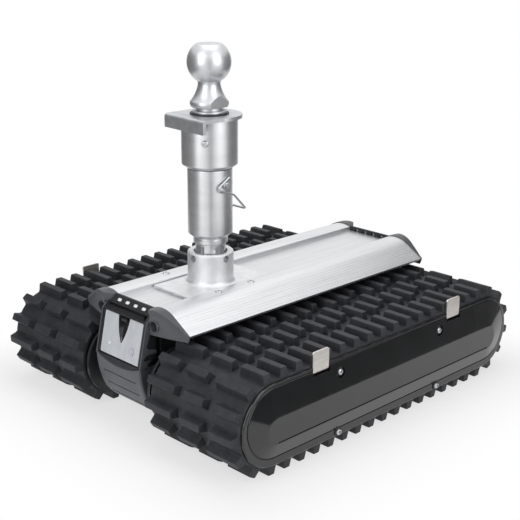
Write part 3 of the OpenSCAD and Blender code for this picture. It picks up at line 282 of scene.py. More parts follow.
def finish(name, dark, light, patch_mm, grain_mm, grain_depth_mm, rough, shader, stretch=(1, 1, 1)):
    """A finish whose colour drifts between two tones, and whose roughness and relief follow its grain.

    stretch lengthens the grain along an axis, for a brushed, drawn or turned surface.
    """
    made = bpy.data.materials.new(name)
    made.use_nodes = True
    tree = made.node_tree
    tree.nodes.clear()
    place = add(tree, "TexCoord").outputs["Object"]
    pull = [1 / s for s in stretch]
    drawn = add(tree, "Mapping", {"Vector": place, "Scale": pull}).outputs["Vector"]
    patch = add(tree, "TexNoise", {"Vector": drawn, "Scale": 1 / (patch_mm * MM), "Detail": 3.0})
    grain = add(tree, "TexNoise", {"Vector": drawn, "Scale": 1 / (grain_mm * MM), "Detail": 2.0})
    tone = add(tree, "ValToRGB", {"Fac": patch.outputs["Fac"]})
    tone.color_ramp.elements[0].position = 0.35
    tone.color_ramp.elements[0].color = colour(dark)
    tone.color_ramp.elements[1].position = 0.65
    tone.color_ramp.elements[1].color = colour(light)
    height = grain.outputs["Fac"]
    spread = {"From Min": 0.3, "From Max": 0.7, "To Min": rough[0], "To Max": rough[1]}
    sheen = add(tree, "MapRange", {"Value": height, **spread})
    relief = add(tree, "Bump", {"Height": height, "Distance": grain_depth_mm * MM, "Strength": 0.6})
    surface = add(
        tree,
        "BsdfPrincipled",
        {
            "Base Color": tone.outputs["Color"],
            "Roughness": sheen.outputs["Result"],
            "Normal": relief.outputs["Normal"],
            **shader,
        },
    )
    add(tree, "OutputMaterial", {"Surface": surface.outputs["BSDF"]})
    return made


METAL = {"Metallic": 1.0}
RUBBER = {"IOR": 1.52, "Specular IOR Level": 0.4}
POLISHED_ABS = {"IOR": 1.54, "Coat Weight": 0.3}
ABS = {"IOR": 1.53}

# Grains finer than about half a millimetre are drawn as coarse as they need to be to show in the picture
FINISHES = {
    # Moulded carbon-black rubber: matt, a little blue, with a pale bloom in patches
    "track_rubber": finish(
        "moulded_rubber", "#26272b", "#303136", 9, 0.7, 0.10, (0.50, 0.68), RUBBER
    ),
    # Injection-moulded ABS with a polished face: near black, mirror-like, with a faint ripple
    "gloss_black": finish(
        "polished_black_abs", "#0c0d0f", "#141518", 40, 6, 0.006, (0.07, 0.12), POLISHED_ABS
    ),
    # ABS moulded in a spark-eroded tool: black with a fine even grain that breaks the highlights
    "black_moulding": finish(
        "grained_black_abs", "#17181b", "#202125", 14, 0.8, 0.06, (0.42, 0.56), ABS
    ),
    # The same ABS in grey: the grain shows as a soft, even sheen
    "grey_moulding": finish(
        "grained_grey_abs", "#484a4e", "#525459", 18, 0.8, 0.04, (0.36, 0.48), ABS
    ),
    # Printed polycarbonate sheet: pale blue-grey, satin, with a light vertical drawing
    "pale_panel": finish(
        "satin_polycarbonate",
        "#c1c5cb",
        "#cbcfd5",
        8,
        0.8,
        0.02,
        (0.38, 0.48),
        {"IOR": 1.58},
        stretch=(1, 1, 6),
    ),
    # Anodised aluminium extrusion: pale and satin, with die lines along its length
    "deck_aluminium": finish(
        "anodised_aluminium", "#d9dbdd", "#e2e3e4", 2.2, 0.5, 0.015, (0.38, 0.46), METAL, stretch=(1, 40, 1)
    ),
    # Sand-cast aluminium, bead blasted: pale, even and softly rough
    "cast_aluminium": finish(
        "blasted_cast_aluminium", "#dddee0", "#e6e7e8", 12, 0.9, 0.03, (0.48, 0.58), METAL
    ),
    # Steel turned on a lathe: fine rings round its axis that draw the highlights out along it
    "turned_steel": finish(
        "turned_steel", "#d1d2d4", "#d9dadc", 9, 0.8, 0.006, (0.31, 0.39), METAL, stretch=(6, 6, 1)
    ),
    # Steel ball, polished then satin plated: bright, with blurred reflections
    "ball_steel": finish(
        "satin_plated_steel", "#c9cbcd", "#d2d4d6", 16, 1.2, 0.008, (0.35, 0.41), METAL
    ),
    # Zinc plate: dull grey with the faint patches of its crystals
    "zinc_plate": finish(
        "zinc_plated_steel", "#c3c5c8", "#cfd1d4", 9, 0.8, 0.02, (0.36, 0.48), METAL
    ),
    # Bright zinc on small fasteners: small, clear glints
    "zinc_screw": finish(
        "bright_zinc", "#b9bbbd", "#cdcfd1", 2, 0.4, 0.02, (0.24, 0.36), METAL
    ),
    # Anodised screws: pale and satin, as the deck is
    "cast_screw": finish(
        "anodised_screw", "#bfc1c3", "#cfd1d3", 2, 0.4, 0.02, (0.30, 0.42), METAL
    ),
    # Powder-coated steel: black, with the coat's shallow orange peel
    "black_steel": finish(
        "powder_coated_steel", "#191a1d", "#232428", 10, 1.4, 0.06, (0.40, 0.54), {"IOR": 1.5}
    ),
    # Grey cast iron, machined on its faces: dark, with a coarse dull grain
    "cast_iron": finish(
        "cast_iron", "#5c5d60", "#6e6f72", 4, 1.0, 0.08, (0.46, 0.62), METAL
    ),
    # Oil-filled sintered bronze: brown, with a damp, dull shine; its tones are set darker still as painted
    # shade, so that the holes in the socket look dark
    "bronze_bush": finish(
        "sintered_bronze", "#43331b", "#574325", 2, 0.4, 0.03, (0.40, 0.55), METAL
    ),
    # Brushed stainless sheet: warm and pale, with its grain along the belt
    "tab_steel": finish(
        "brushed_stainless", "#dbd6d1", "#e6e1dd", 1.4, 0.4, 0.015, (0.36, 0.46), METAL, stretch=(1, 12, 1)
    ),
    # Glass-fibre board under solder mask: green, with a smooth lacquer shine
    "circuit_board": finish(
        "solder_mask_board", "#1f4a31", "#2a5c3e", 3, 0.6, 0.03, (0.30, 0.45), {"IOR": 1.55}
    ),
    # Cloth of the studio's flags: a flat, even grey
    "flag_cloth": finish(
        "grey_flag_cloth", "#969696", "#9f9f9f", 20, 2.0, 0.10, (0.85, 0.95), {"Specular IOR Level": 0.1}
    ),
    # Frosted lens: white, with a soft gloss
    "lamp_lens": finish(
        "frosted_lens", "#f2f4f6", "#ffffff", 1, 0.3, 0.01, (0.20, 0.32), {"IOR": 1.49}
    ),
}


# Shapes


def rounded(points, steps=4):
    """A flat outline with its corners rounded: a point is (a, b) or (a, b, radius)."""
    made = []
    count = len(points)
    for i, point in enumerate(points):
        here = Vector(point[:2])
        radius = point[2] if len(point) > 2 else 0
        if not radius:
            made.append(tuple(here))
            continue
        back = Vector(points[i - 1][:2]) - here
        ahead = Vector(points[(i + 1) % count][:2]) - here
        half = back.angle(ahead) / 2
        reach = min(radius / math.tan(half), back.length / 2, ahead.length / 2)
        start, end = here + back.normalized() * reach, here + ahead.normalized() * reach
        middle = here + (back.normalized() + ahead.normalized()).normalized() * reach / math.cos(half)
        spin = (start - middle).angle_signed(end - middle)
        for step in range(steps + 1):
            turn = Matrix.Rotation(-spin * step / steps, 2)
            made.append(tuple(middle + turn @ (start - middle)))
    return made


def rectangle(low_a, low_b, high_a, high_b, corner):
    """Corners of a rectangle, to be rounded by the same radius."""
    spots = [(low_a, low_b), (high_a, low_b), (high_a, high_b), (low_a, high_b)]
    return [(*spot, corner) for spot in spots]


def arc(a, b, radius, start, end, steps):
    """Points on a circle, from start to end in radians."""
    turns = [start + (end - start) * i / steps for i in range(steps + 1)]
    return [(a + radius * math.cos(t), b + radius * math.sin(t)) for t in turns]


def loft(rings, looped=False):
    """Faces through rings of equal length, closed at both ends or looped back to the first ring."""
    mesh = bmesh.new()
    rows = [[mesh.verts.new([c * MM for c in p]) for p in ring] for ring in rings]
    pairs = list(zip(rows, rows[1:])) + ([(rows[-1], rows[0])] if looped else [])
    for low, high in pairs:
        for i in range(len(low)):
            j = (i + 1) % len(low)
            mesh.faces.new((low[i], low[j], high[j], high[i]))
    if not looped:
        mesh.faces.new(rows[0][::-1])
        mesh.faces.new(rows[-1])
    return mesh


def along_x(a, b, c):
    return (c, a, b)


def along_y(a, b, c):
    return (a, c, b)


def along_z(a, b, c):
    return (a, b, c)


def shifted(place, offset):
    """The same placing of points, moved by an offset."""
    return lambda a, b, c: tuple(p + d for p, d in zip(place(a, b, c), offset))


on_mast = shifted(along_z, (0, MAST_Y, 0))
on_pin = shifted(along_x, (0, MAST_Y, PIN_Z))


def on_face(u, v, w):
    """A point of the control panel: u across it, v down from its top edge, w out of its face."""
    return (
        u,
        FACE_Y - v * math.sin(FACE_LEAN) - w * math.cos(FACE_LEAN),
        FACE_Z - v * math.cos(FACE_LEAN) + w * math.sin(FACE_LEAN),
    )


def prism(outline, low, high, place):
    """A flat outline drawn out between two levels."""
    return loft([[place(a, b, level) for a, b in outline] for level in (low, high)])


def slab(low, high):
    """A block between two corners."""
    outline = [(low[0], low[1]), (high[0], low[1]), (high[0], high[1]), (low[0], high[1])]
    return prism(outline, low[2], high[2], along_z)


def turned(profile, place, hollow=False, steps=96):
    """A profile of (radius, height) turned about its axis; hollow joins its end to its start."""
    turns = [2 * math.pi * i / steps for i in range(steps)]
    rings = [[place(r * math.cos(t), r * math.sin(t), h) for t in turns] for r, h in profile]
    return loft(rings, looped=hollow)


def bar(radius, low, high, place, steps=48):
    """A plain rod, for drilling."""
    return turned([(radius, low), (radius, high)], place, steps=steps)


def soften(mesh, width, segments=2, angle=35):
    """Rounds the edges that turn by more than an angle."""
    bmesh.ops.recalc_face_normals(mesh, faces=mesh.faces)
    limit = math.radians(angle)
    edges = [e for e in mesh.edges if len(e.link_faces) == 2 and e.calc_face_angle(0) > limit]
    rounding = {"offset": width * MM, "segments": segments, "profile": 0.5}
    bmesh.ops.bevel(mesh, geom=edges, affect="EDGES", clamp_overlap=True, **rounding)
    return mesh


def mirrored(mesh):
    """The same shape on the other side of the middle."""
    bmesh.ops.scale(mesh, vec=(-1, 1, 1), verts=mesh.verts)
    return mesh


def rear_of(mesh):
    """The same shape at the rear."""
    bmesh.ops.scale(mesh, vec=(1, -1, 1), verts=mesh.verts)
    return mesh


def joined(*meshes):
    """Several shapes as one."""
    whole = bmesh.new()
    for mesh in meshes:
        held = bpy.data.meshes.new("held")
        mesh.to_mesh(held)
        mesh.free()
        whole.from_mesh(held)
        bpy.data.meshes.remove(held)
    return whole


def pair(make):
    """A shape and its like on the other side of the middle."""
    return joined(make(), mirrored(make()))


def object_of(name, mesh):
    """An object in the scene, made of a shape."""
    bmesh.ops.recalc_face_normals(mesh, faces=mesh.faces)
    data = bpy.data.meshes.new(name)
    mesh.to_mesh(data)
    mesh.free()
    made = bpy.data.objects.new(name, data)
    bpy.context.scene.collection.objects.link(made)
    return made


def worked(mesh, cuts=(), welds=()):
    """A shape with others welded on and then cut out of it."""
    blank = object_of("blank", mesh)
    tools = []
    for kind, shapes in (("UNION", welds), ("DIFFERENCE", cuts)):
        for shape in shapes:
            tool = object_of("tool", shape)
            step = blank.modifiers.new(kind, "BOOLEAN")
            step.operation = kind
            step.solver = "EXACT"
            step.object = tool
            tools.append(tool)
    graph = bpy.context.evaluated_depsgraph_get()
    result = bmesh.new()
    result.from_mesh(blank.evaluated_get(graph).to_mesh())
    for used in [blank, *tools]:
        data = used.data
        bpy.data.objects.remove(used)
        bpy.data.meshes.remove(data)
    bmesh.ops.remove_doubles(result, verts=result.verts, dist=0.002 * MM)
    bmesh.ops.dissolve_degenerate(result, edges=result.edges, dist=0.002 * MM)
    return result


def piece(name, mesh, slot, body, *nodes, angle=32):
    """Puts a shape on a body with its finish, in place of CAD nodes."""
    made = object_of(name, mesh)
    made.data.shade_smooth()
    made.data.set_sharp_from_angle(angle=math.radians(angle))
    level = made.modifiers.new("even shading", "WEIGHTED_NORMAL")
    level.keep_sharp = True
    made.data.materials.append(FINISHES[slot])
    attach(made, body)
    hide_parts(*nodes)


def dressed(node, mesh, slot, body="chassis", **shading):
    """A piece in place of one CAD node."""
    piece(node + "_look", mesh, slot, body, node, **shading)


def trim(name, mesh, slot, body="chassis"):
    """A small piece beside the CAD's own."""
    piece(name + "_look", mesh, slot, body)


def both_sides(put, part, make, slot):
    """The same piece on the right track and, mirrored, on the left one."""
    put("right_" + part, make(), slot)
    put("left_" + part, mirrored(make()), slot)


# Camera, as the photograph was taken
CAMERA_AZIMUTH = math.radians(45.53)
CAMERA_ELEVATION = math.radians(15.21)
CAMERA_DISTANCE = 1345.52
CAMERA_TARGET = Vector((-9.55, -4.5, 203.24))
CAMERA_ROLL = math.radians(0.19)
CAMERA_SENSOR = 36.0
CAMERA_LENS = 75.66
CAMERA_SHIFT_X = 0.0074
CAMERA_SHIFT_Y = -0.085


def place_camera():
    data = bpy.data.cameras.new("camera")
    data.sensor_width = CAMERA_SENSOR
    data.lens = CAMERA_LENS
    data.shift_x = CAMERA_SHIFT_X
    data.shift_y = CAMERA_SHIFT_Y
    data.clip_end = 50
    camera = bpy.data.objects.new("camera", data)
    bpy.context.scene.collection.objects.link(camera)
    level = math.cos(CAMERA_ELEVATION)
    right, ahead = math.sin(CAMERA_AZIMUTH) * level, math.cos(CAMERA_AZIMUTH) * level
    back = Vector((right, -ahead, math.sin(CAMERA_ELEVATION)))
    look = back.to_track_quat("Z", "Y").to_matrix().to_4x4()
    stand = Matrix.Translation((CAMERA_TARGET + back * CAMERA_DISTANCE) * MM)
    camera.matrix_world = stand @ look @ Matrix.Rotation(CAMERA_ROLL, 4, "Z")
    bpy.context.scene.camera = camera


# Tracks


def belt_place(s):
    """Centre and turn of the belt at s round its loop, from the top of the rear wheel forwards."""
    run, bend = 2 * HALF_BASE, math.pi * PITCH_R
    if s < run:
        return HALF_BASE - s, 0.0
    if s < run + bend:
        return -HALF_BASE, (s - run) / PITCH_R
    if s < 2 * run + bend:
        return s - run - bend - HALF_BASE, math.pi
    return HALF_BASE, math.pi + (s - 2 * run - bend) / PITCH_R


def on_belt(s, ahead, x, out):
    """A point that lies ahead of s along the belt, at x across it, and out from its cord line."""
    centre, turn = belt_place(s)
    up = PITCH_R + out
    return (
        x,
        centre + ahead * math.cos(turn) - up * math.sin(turn),
        AXIS_Z + ahead * math.sin(turn) + up * math.cos(turn),
    )


def moulded_bar(s, middle_x, layers):
    """A bar across the belt, drawn through layers of (height, half length, half width, corner radius)."""
    rings = []
    for out, half_l, half_w, corner in layers:
        outline = rounded(rectangle(-half_l, -half_w, half_l, half_w, corner), steps=2)
        rings.append([on_belt(s, a, middle_x + b, out) for a, b in outline])
    return loft(rings)


def row_lugs(stepped):
    """Start and end of each lug of a row, across the belt from its inner edge."""
    inner = LUG_INNER_W - (LUG_GAP if stepped else 0)
    middle = inner + LUG_GAP
    outer = middle + LUG_MID_W + LUG_GAP
    return [(0, inner), (middle, middle + LUG_MID_W), (outer, BELT_OUT_X - BELT_IN_X)]


def lug_layers(half):
    """A lug drawn up from the belt: a small fillet, drafted sides, and worn round edges."""
    foot, tip, top = LUG_FOOT / 2, LUG_TIP / 2, CARCASS_UP + LUG_H
    return [
        (CARCASS_UP - 0.8, foot + 0.7, half, 0.6),
        (CARCASS_UP, foot + 0.6, half, 0.6),
        (CARCASS_UP + 0.5, foot + 0.15, half - 0.05, 0.8),
        (CARCASS_UP + 1.4, foot - 0.2, half - 0.1, 1.0),
        (top - 1.0, tip + 0.12, half - 0.9, 1.1),
        (top - 0.35, tip - 0.1, half - 1.1, 1.1),
        (top - 0.08, tip - 0.45, half - 1.45, 0.9),
        (top, tip - 0.9, half - 1.9, 0.7),
    ]


def belt(step):
    """A rubber belt with three lugs to a row; every third row is stepped, the first of them at step."""
    block_layers = [
        (-CORD_DEPTH + 0.8, BLOCK_L / 2 + 0.4, BLOCK_W / 2 + 0.4, 0.6),
        (-CORD_DEPTH - 0.8, BLOCK_L / 2, BLOCK_W / 2, 0.8),
        (-CORD_DEPTH - BLOCK_H + 1, BLOCK_L / 2 - 0.5, BLOCK_W / 2 - 0.5, 1.0),
        (-CORD_DEPTH - BLOCK_H, BLOCK_L / 2 - 1.4, BLOCK_W / 2 - 1.4, 0.8),
    ]
    edge = rounded(
        [
            (BELT_IN_X, -CORD_DEPTH, 0.8),
            (BELT_OUT_X, -CORD_DEPTH, 0.8),
            (BELT_OUT_X, CARCASS_UP, 1.2),
            (BELT_IN_X, CARCASS_UP, 1.2),
        ],
        steps=3,
    )
    stops = [BLOCK_PITCH * i / 4 for i in range(BELT_BLOCKS * 4)]
    shapes = [loft([[on_belt(s, 0, x, out) for x, out in edge] for s in stops], looped=True)]
    for i in range(LUG_ROWS):
        for start, end in row_lugs(i % 3 == step):
            middle = BELT_IN_X + (start + end) / 2
            shapes.append(moulded_bar((i + 0.5) * ROW_PITCH, middle, lug_layers((end - start) / 2)))
    middle = (BELT_IN_X + BELT_OUT_X) / 2
    shapes += [moulded_bar(i * BLOCK_PITCH, middle, block_layers) for i in range(BELT_BLOCKS)]
    return joined(*shapes)


def cover_ring(x, radius, z):
    """A long round-ended ring of the side cover."""
    steps = 40
    front = arc(-HALF_BASE, z, radius, math.pi / 2, 1.5 * math.pi, steps)
    rear = arc(HALF_BASE, z, radius, -math.pi / 2, math.pi / 2, steps)
    return [(x, y, up) for y, up in front + rear]


def side_cover():
    foot_x = RIM_X + 0.7
    foot = Vector((foot_x, PANEL_FOOT_R, PANEL_FOOT_Z))
    face = Vector((PANEL_X, PANEL_FACE_R, PANEL_FACE_Z))
    slope = [tuple(foot.lerp(face, t)) for t in (0.06, 0.35, 0.65, 0.9)]
    rings = [
        (COVER_X, RIM_R - 0.5, AXIS_Z),
        (COVER_X + 0.5, RIM_R, AXIS_Z),
        (RIM_X - 1.3, RIM_R, AXIS_Z),
        (RIM_X - 0.5, RIM_R - 0.3, AXIS_Z),
        (RIM_X - 0.1, RIM_R - 0.8, AXIS_Z),
        (RIM_X, RIM_R - 1.4, AXIS_Z),
        (RIM_X, PANEL_FOOT_R + 1.9, PANEL_FOOT_Z - 0.4),
        (RIM_X - 0.7, PANEL_FOOT_R + 1.5, PANEL_FOOT_Z),
        (RIM_X - 0.7, PANEL_FOOT_R + 0.8, PANEL_FOOT_Z),
        (foot_x - 0.5, PANEL_FOOT_R + 0.5, PANEL_FOOT_Z),
        (foot_x - 0.1, PANEL_FOOT_R + 0.2, PANEL_FOOT_Z),
        (foot_x + 0.1, PANEL_FOOT_R - 0.4, PANEL_FOOT_Z),
        *slope,
        (PANEL_X - 0.12, PANEL_FACE_R + 0.5, PANEL_FACE_Z + 0.2),
        (PANEL_X, PANEL_FACE_R - 0.6, PANEL_FACE_Z),
    ]
    blank = loft([cover_ring(*ring) for ring in rings])
    groove_z = PANEL_FACE_Z - PANEL_FACE_R + 0.5
    groove = rounded(rectangle(-HALF_BASE, groove_z, HALF_BASE, groove_z + GROOVE_W, 0.6))
    cuts = [prism(groove, PANEL_X - 1.0, PANEL_X + 2, along_x)]
    for y in (-1, 1):
        middle, half = y * TAB_Y, TAB_W / 2 + 0.9
        low = TAB_FOOT_Z - 0.9
        notch = [(middle - half, low, 1.2), (middle + half, low, 1.2)]
        notch += [(middle + half, TAB_TOP_Z), (middle - half, TAB_TOP_Z)]
        cuts.append(prism(rounded(notch), COVER_X - 2, PANEL_X + 5, along_x))
        for z in (SCREW_HIGH_Z, SCREW_LOW_Z):
            place = shifted(along_x, (0, y * SCREW_Y, z))
            cuts.append(bar(COVER_RECESS_R, RIM_X - 0.25, PANEL_X + 5, place))
    return soften(worked(blank, cuts), 0.3, 2, 40)


def socket_screw(radius, height, socket_r, place, under=0.0):
    """A button-headed screw with a six-sided socket, with its shank carried down by under."""
    head = [
        (radius * 0.5, -under),
        (radius * 0.5, 0),
        (radius, 0),
        (radius, height * 0.35),
        (radius * 0.93, height * 0.7),
        (radius * 0.78, height * 0.92),
        (radius * 0.6, height),
    ]
    key = arc(0, 0, socket_r, 0, 2 * math.pi, 6)[:-1]
    return worked(turned(head, place, steps=40), [prism(key, height * 0.4, height + 2, place)])


def at_cover_screws(x):
    """Placings about the axes of a cover's four screws, from x outwards."""
    spots = [(y * SCREW_Y, z) for y in (-1, 1) for z in (SCREW_HIGH_Z, SCREW_LOW_Z)]
    return [shifted(along_x, (x, y, z)) for y, z in spots]


def cover_screws():
    places = at_cover_screws(RIM_X + 0.75)
    return joined(*[socket_screw(COVER_SCREW_R, 2.4, 1.7, place, under=17) for place in places])


def cover_washers():
    bore, rim = COVER_SCREW_R - 1.5, COVER_WASHER_R
    ring = rounded([(bore, 0.0), (rim, 0.0, 0.2), (rim, 0.8, 0.4), (bore, 0.8)])
    places = at_cover_screws(RIM_X - 0.2)
    return joined(*[turned(ring, place, hollow=True, steps=48) for place in places])


def cover_tabs():
    outer = TAB_X + TAB_T
    section = rounded(
        [
            (TAB_FOOT_X, TAB_FOOT_Z),
            (outer, TAB_FOOT_Z, 3.0),
            (outer, TAB_TOP_Z),
            (TAB_X, TAB_TOP_Z),
            (TAB_X, TAB_FOOT_Z + TAB_T, 1.0),
            (TAB_FOOT_X, TAB_FOOT_Z + TAB_T),
        ],
        steps=5,
    )
    shapes = []
    for y in (-TAB_Y, TAB_Y):
        tab = prism(section, y - TAB_W / 2, y + TAB_W / 2, along_y)
        high = [e for e in tab.edges if min(v.co.z for v in e.verts) > (TAB_TOP_Z - 0.1) * MM]
        corners = [e for e in high if e.calc_length() < 2 * TAB_T * MM]
        rounding = {"offset": TAB_CORNER * MM, "segments": 5, "profile": 0.5}
        bmesh.ops.bevel(tab, geom=corners, affect="EDGES", **rounding)
        shapes.append(soften(tab, 0.35, 2, 50))
    return joined(*shapes)


# Deck and its end caps


def wing_point(along, depth):
    """A point of the wing, along it from the ridge and down into it."""
    start_x = RIDGE_X + RIDGE_R * math.sin(WING_SLOPE)
    start_z = RIDGE_Z + RIDGE_R * math.cos(WING_SLOPE)
    return (
        start_x + along * math.cos(WING_SLOPE) - depth * math.sin(WING_SLOPE),
        start_z - along * math.sin(WING_SLOPE) - depth * math.cos(WING_SLOPE),
    )


def deck_half():
    """Half of the deck's section, from the middle of the channel out over the ridge and back underneath."""
    quarter = math.pi / 2
    ridge_in_z = RIDGE_Z + RIDGE_R * math.cos(RIDGE_IN_ANGLE)
    ceiling_r = RIDGE_R - DECK_T
    ceiling_z = RIDGE_Z + ceiling_r
    top = [(CHANNEL_X, CHANNEL_Z, 0.6), (CHANNEL_X, ridge_in_z, 0.9)]
    ridge = arc(RIDGE_X, RIDGE_Z, RIDGE_R, quarter + RIDGE_IN_ANGLE, quarter - WING_SLOPE, 24)
    wing = []
    for i in range(1, WING_GROOVES + 1):
        middle, half = i * WING_RUN / (WING_GROOVES + 1), WING_GROOVE_W / 2
        wing += [
            wing_point(middle - half, 0),
            wing_point(middle - half * 0.7, WING_GROOVE_D),
            wing_point(middle + half * 0.7, WING_GROOVE_D),
            wing_point(middle + half, 0),
        ]
    tip = [(*wing_point(WING_RUN, 0), 0.7), (*wing_point(WING_RUN, DECK_T), 0.7)]
    ceiling_end = quarter + RIDGE_IN_ANGLE * 0.6
    inside = arc(RIDGE_X, RIDGE_Z, ceiling_r, quarter - WING_SLOPE, ceiling_end, 12)
    rib_out, rib_in = RIDGE_X + RIB_W / 2, RIDGE_X - RIB_W / 2
    rib = [(rib_out, RIB_LOW_Z, 1.0), (rib_in, RIB_LOW_Z, 1.0)]
    before = [p for p in inside if p[0] > rib_out + 0.5]
    after = [p for p in inside if p[0] < rib_in - 0.5]
    lip = [(rib_out, ceiling_z), *rib, (rib_in, ceiling_z)]
    wall_x = CHANNEL_X + DECK_T
    wall = [(wall_x, ceiling_z - 1), (wall_x, CHANNEL_Z - DECK_T, 0.8)]
    return top + ridge[1:] + wing + tip + before + lip + after + wall


def deck():
    half = deck_half()
    left = [(-p[0], *p[1:]) for p in reversed(half)]
    section = rounded(half + left, steps=3)
    blank = prism(section, -DECK_END, DECK_END, along_y)
    return worked(blank, [bar(DECK_SCREW_R + 0.6, 0, 4.5, place, 32) for place in at_deck_screws()])


def at_deck_screws():
    """Placings about the axes of the deck's four screws, from their seats upwards."""
    seat = RIDGE_Z + RIDGE_R - 0.5
    spots = [(x * RIDGE_X, DECK_SCREW_Y + y * DECK_SCREW_STEP) for x in (-1, 1) for y in (-1, 1)]
    return [shifted(along_z, (x, y, seat)) for x, y in spots]


def deck_screws():
    return joined(*[socket_screw(DECK_SCREW_R, 1.6, 1.7, place, under=27) for place in at_deck_screws()])


def cap_top(x):
    """Height of the end cap's upper edge at a distance from the middle."""
    radius = RIDGE_R + CAP_PROUD
    if x < RIDGE_X + radius * math.sin(WING_SLOPE):
        return RIDGE_Z + math.sqrt(radius * radius - (x - RIDGE_X) ** 2)
    out_x = RIDGE_X + radius * math.sin(WING_SLOPE)
    return RIDGE_Z + radius * math.cos(WING_SLOPE) - (x - out_x) * math.tan(WING_SLOPE)


def cap_front(x):
    """Place of the end cap's swept front at a distance from the middle."""
    return -DECK_END - CAP_REACH + CAP_PLAN_R - math.sqrt(CAP_PLAN_R**2 - x * x)


def cap_wing():
    """The cap over one wing: a ribbed lip along its top, and a face set back under it."""
    step_x, face_x, end_x = BODY_X + 0.3, BODY_X + 5, WING_X + 0.4
    inner = [CHANNEL_X + t for t in (0, 0.5, 1.5, 3, 5)] + [step_x - 0.02]
    flank = [step_x + t for t in (0.02, 0.6, 1.6, 3)]
    face = [face_x + i * (end_x - face_x) / (2 * CAP_RIBS) for i in range(2 * CAP_RIBS + 1)]
    stations = inner + flank + face
    rings = []
    for i, x in enumerate(stations):
        top = cap_top(x)
        low = HOOD_Z + 0.3 if x < step_x else CAP_LOW_Z + max(0.0, x - WING_X + 2.5) ** 1.6
        front = min(cap_front(x), -DECK_END - 0.9)
        if x in inner:
            turn_in = (inner[-1] - x) / (inner[-1] - inner[0])
            front += (hood_front(HOOD_Z + CAP_LIP_H) - front) * turn_in
        depth = -DECK_END - front
        rib = 0.25 * min(1.0, depth / 3) if i % 2 and x > face_x else 0.0
        back = front + min(CAP_LIP_STEP, 0.4 * depth)
        edge = min(0.8, 0.3 * depth)
        step = max(low + 1.2, top - CAP_LIP_H)
        ease = 0.35 if x in (stations[0], stations[-1]) else 0.0
        rings.append(
            [
                (x, -DECK_END, low + ease),
                (x, back + edge, low + ease),
                (x, back, low + edge + ease),
                (x, back, step - 0.4),
                (x, front + 0.2 + rib, step),
                (x, front + rib, step + 0.4),
                (x, front + rib, top - edge - ease),
                (x, front + rib + 0.3 * edge, top - 0.3 * edge - ease),
                (x, front + edge, top - ease),
                (x, -DECK_END, top - ease),
            ]
        )
    return loft(rings)


def cap_boss(place):
    """A round boss about the cap's screw, and the recess for its head."""
    seat, mouth = -DECK_END - CAP_SEAT, cap_front(CAP_SCREW_X) + CAP_LIP_STEP
    radius = CAP_RECESS_R
    boss = [
        (radius + 1.5, seat),
        (radius + 1.5, mouth - 0.2),
        (radius + 1.2, mouth - 0.7),
        (radius + 0.6, mouth - 0.9),
    ]
    recess = [
        (radius - 1, seat),
        (radius, seat - 1),
        (radius, mouth + 0.2),
        (radius + 0.5, mouth - 0.9),
        (radius + 0.5, mouth - 6),
    ]
    return turned(boss, place, steps=48), turned(recess, place, steps=48)


def cap_half():
    boss, recess = cap_boss(shifted(along_y, (CAP_SCREW_X, 0, CAP_SCREW_Z)))
    return worked(cap_wing(), [recess], [boss])


def end_cap():
    """The two wings of a cap; the wall between them is a piece of its own."""
    return pair(cap_half)


def hood_front(z):
    """Front of the hood, which leans back from the panel's top to the deck's edge."""
    low_y = bezel_front(HOOD_LOW_Z)
    return low_y + (HOOD_TOP_Y - low_y) * (z - HOOD_LOW_Z) / (HOOD_TOP_Z - HOOD_LOW_Z)


def slot_bars(low, high, grow):
    """Bars along the deck, with the outlines of the four slots."""
    middle = HOOD_LOW_Z + SLOT_RISE * (HOOD_TOP_Z - HOOD_LOW_Z)
    half_w, half_h = SLOT_W / 2 + grow, SLOT_H / 2 + grow
    bars = []
    for i in (-1.5, -0.5, 0.5, 1.5):
        x = i * SLOT_PITCH
        slot = rectangle(x - half_w, middle - half_h, x + half_w, middle + half_h, SLOT_CORNER)
        bars.append(prism(rounded(slot), low, high, along_y))
    return bars


def slotted_wall(section):
    """A wall across the channel, with the four slots through it."""
    wall = prism(rounded(section, steps=4), -CHANNEL_X - 0.8, CHANNEL_X + 0.8, along_x)
    return worked(wall, slot_bars(-FAR, -DECK_END + 3, 0.0))


def front_hood():
    """Black wall in front of the deck: it leans back from the panel to the deck's edge."""
    section = [
        (hood_front(HOOD_LOW_Z), HOOD_LOW_Z, 0.4),
        (-DECK_END, HOOD_LOW_Z),
        (-DECK_END, HOOD_TOP_Z, 0.5),
        (HOOD_TOP_Y, HOOD_TOP_Z, 1.0),
    ]
    return slotted_wall(section)


def slot_lenses():
    """Pale lenses that fill the slots, a little behind the hood's face."""
    shapes = []
    for bar_mesh in slot_bars(hood_front(HOOD_TOP_Z) - 7, -DECK_END - 0.5, -0.05):
        for vert in bar_mesh.verts:
            if vert.co.y < (-DECK_END - 1) * MM:
                vert.co.y = (hood_front(vert.co.z / MM) + 0.5) * MM
        shapes.append(bar_mesh)
    return joined(*shapes)


def rear_wall():
    face = -DECK_END - CAP_WALL
    section = [(face, HOOD_Z), (-DECK_END, HOOD_Z), (-DECK_END, HOOD_TOP_Z, 0.8), (face, HOOD_TOP_Z, 1.2)]
    return rear_of(slotted_wall(section))


def at_cap_screw(x, end):
    """Placing about the axis of a cap's screw, from its seat outwards; end is -1 in front and 1 behind."""
    return lambda a, b, c: (x + a, end * (DECK_END + CAP_SEAT + c), CAP_SCREW_Z + b)


def end_cap_screws():
    places = [at_cap_screw(x, end) for x in (-CAP_SCREW_X, CAP_SCREW_X) for end in (-1, 1)]
    return joined(*[socket_screw(CAP_SCREW_R, 2.5, 1.9, place, under=18) for place in places])


# Front housing


def smile_z(x):
    """Height of the lower edge of the black frame, which dips in the middle."""
    return SEAM_Z + SMILE_UP + SMILE_CURVE * (x / CHEEK_X) ** 2


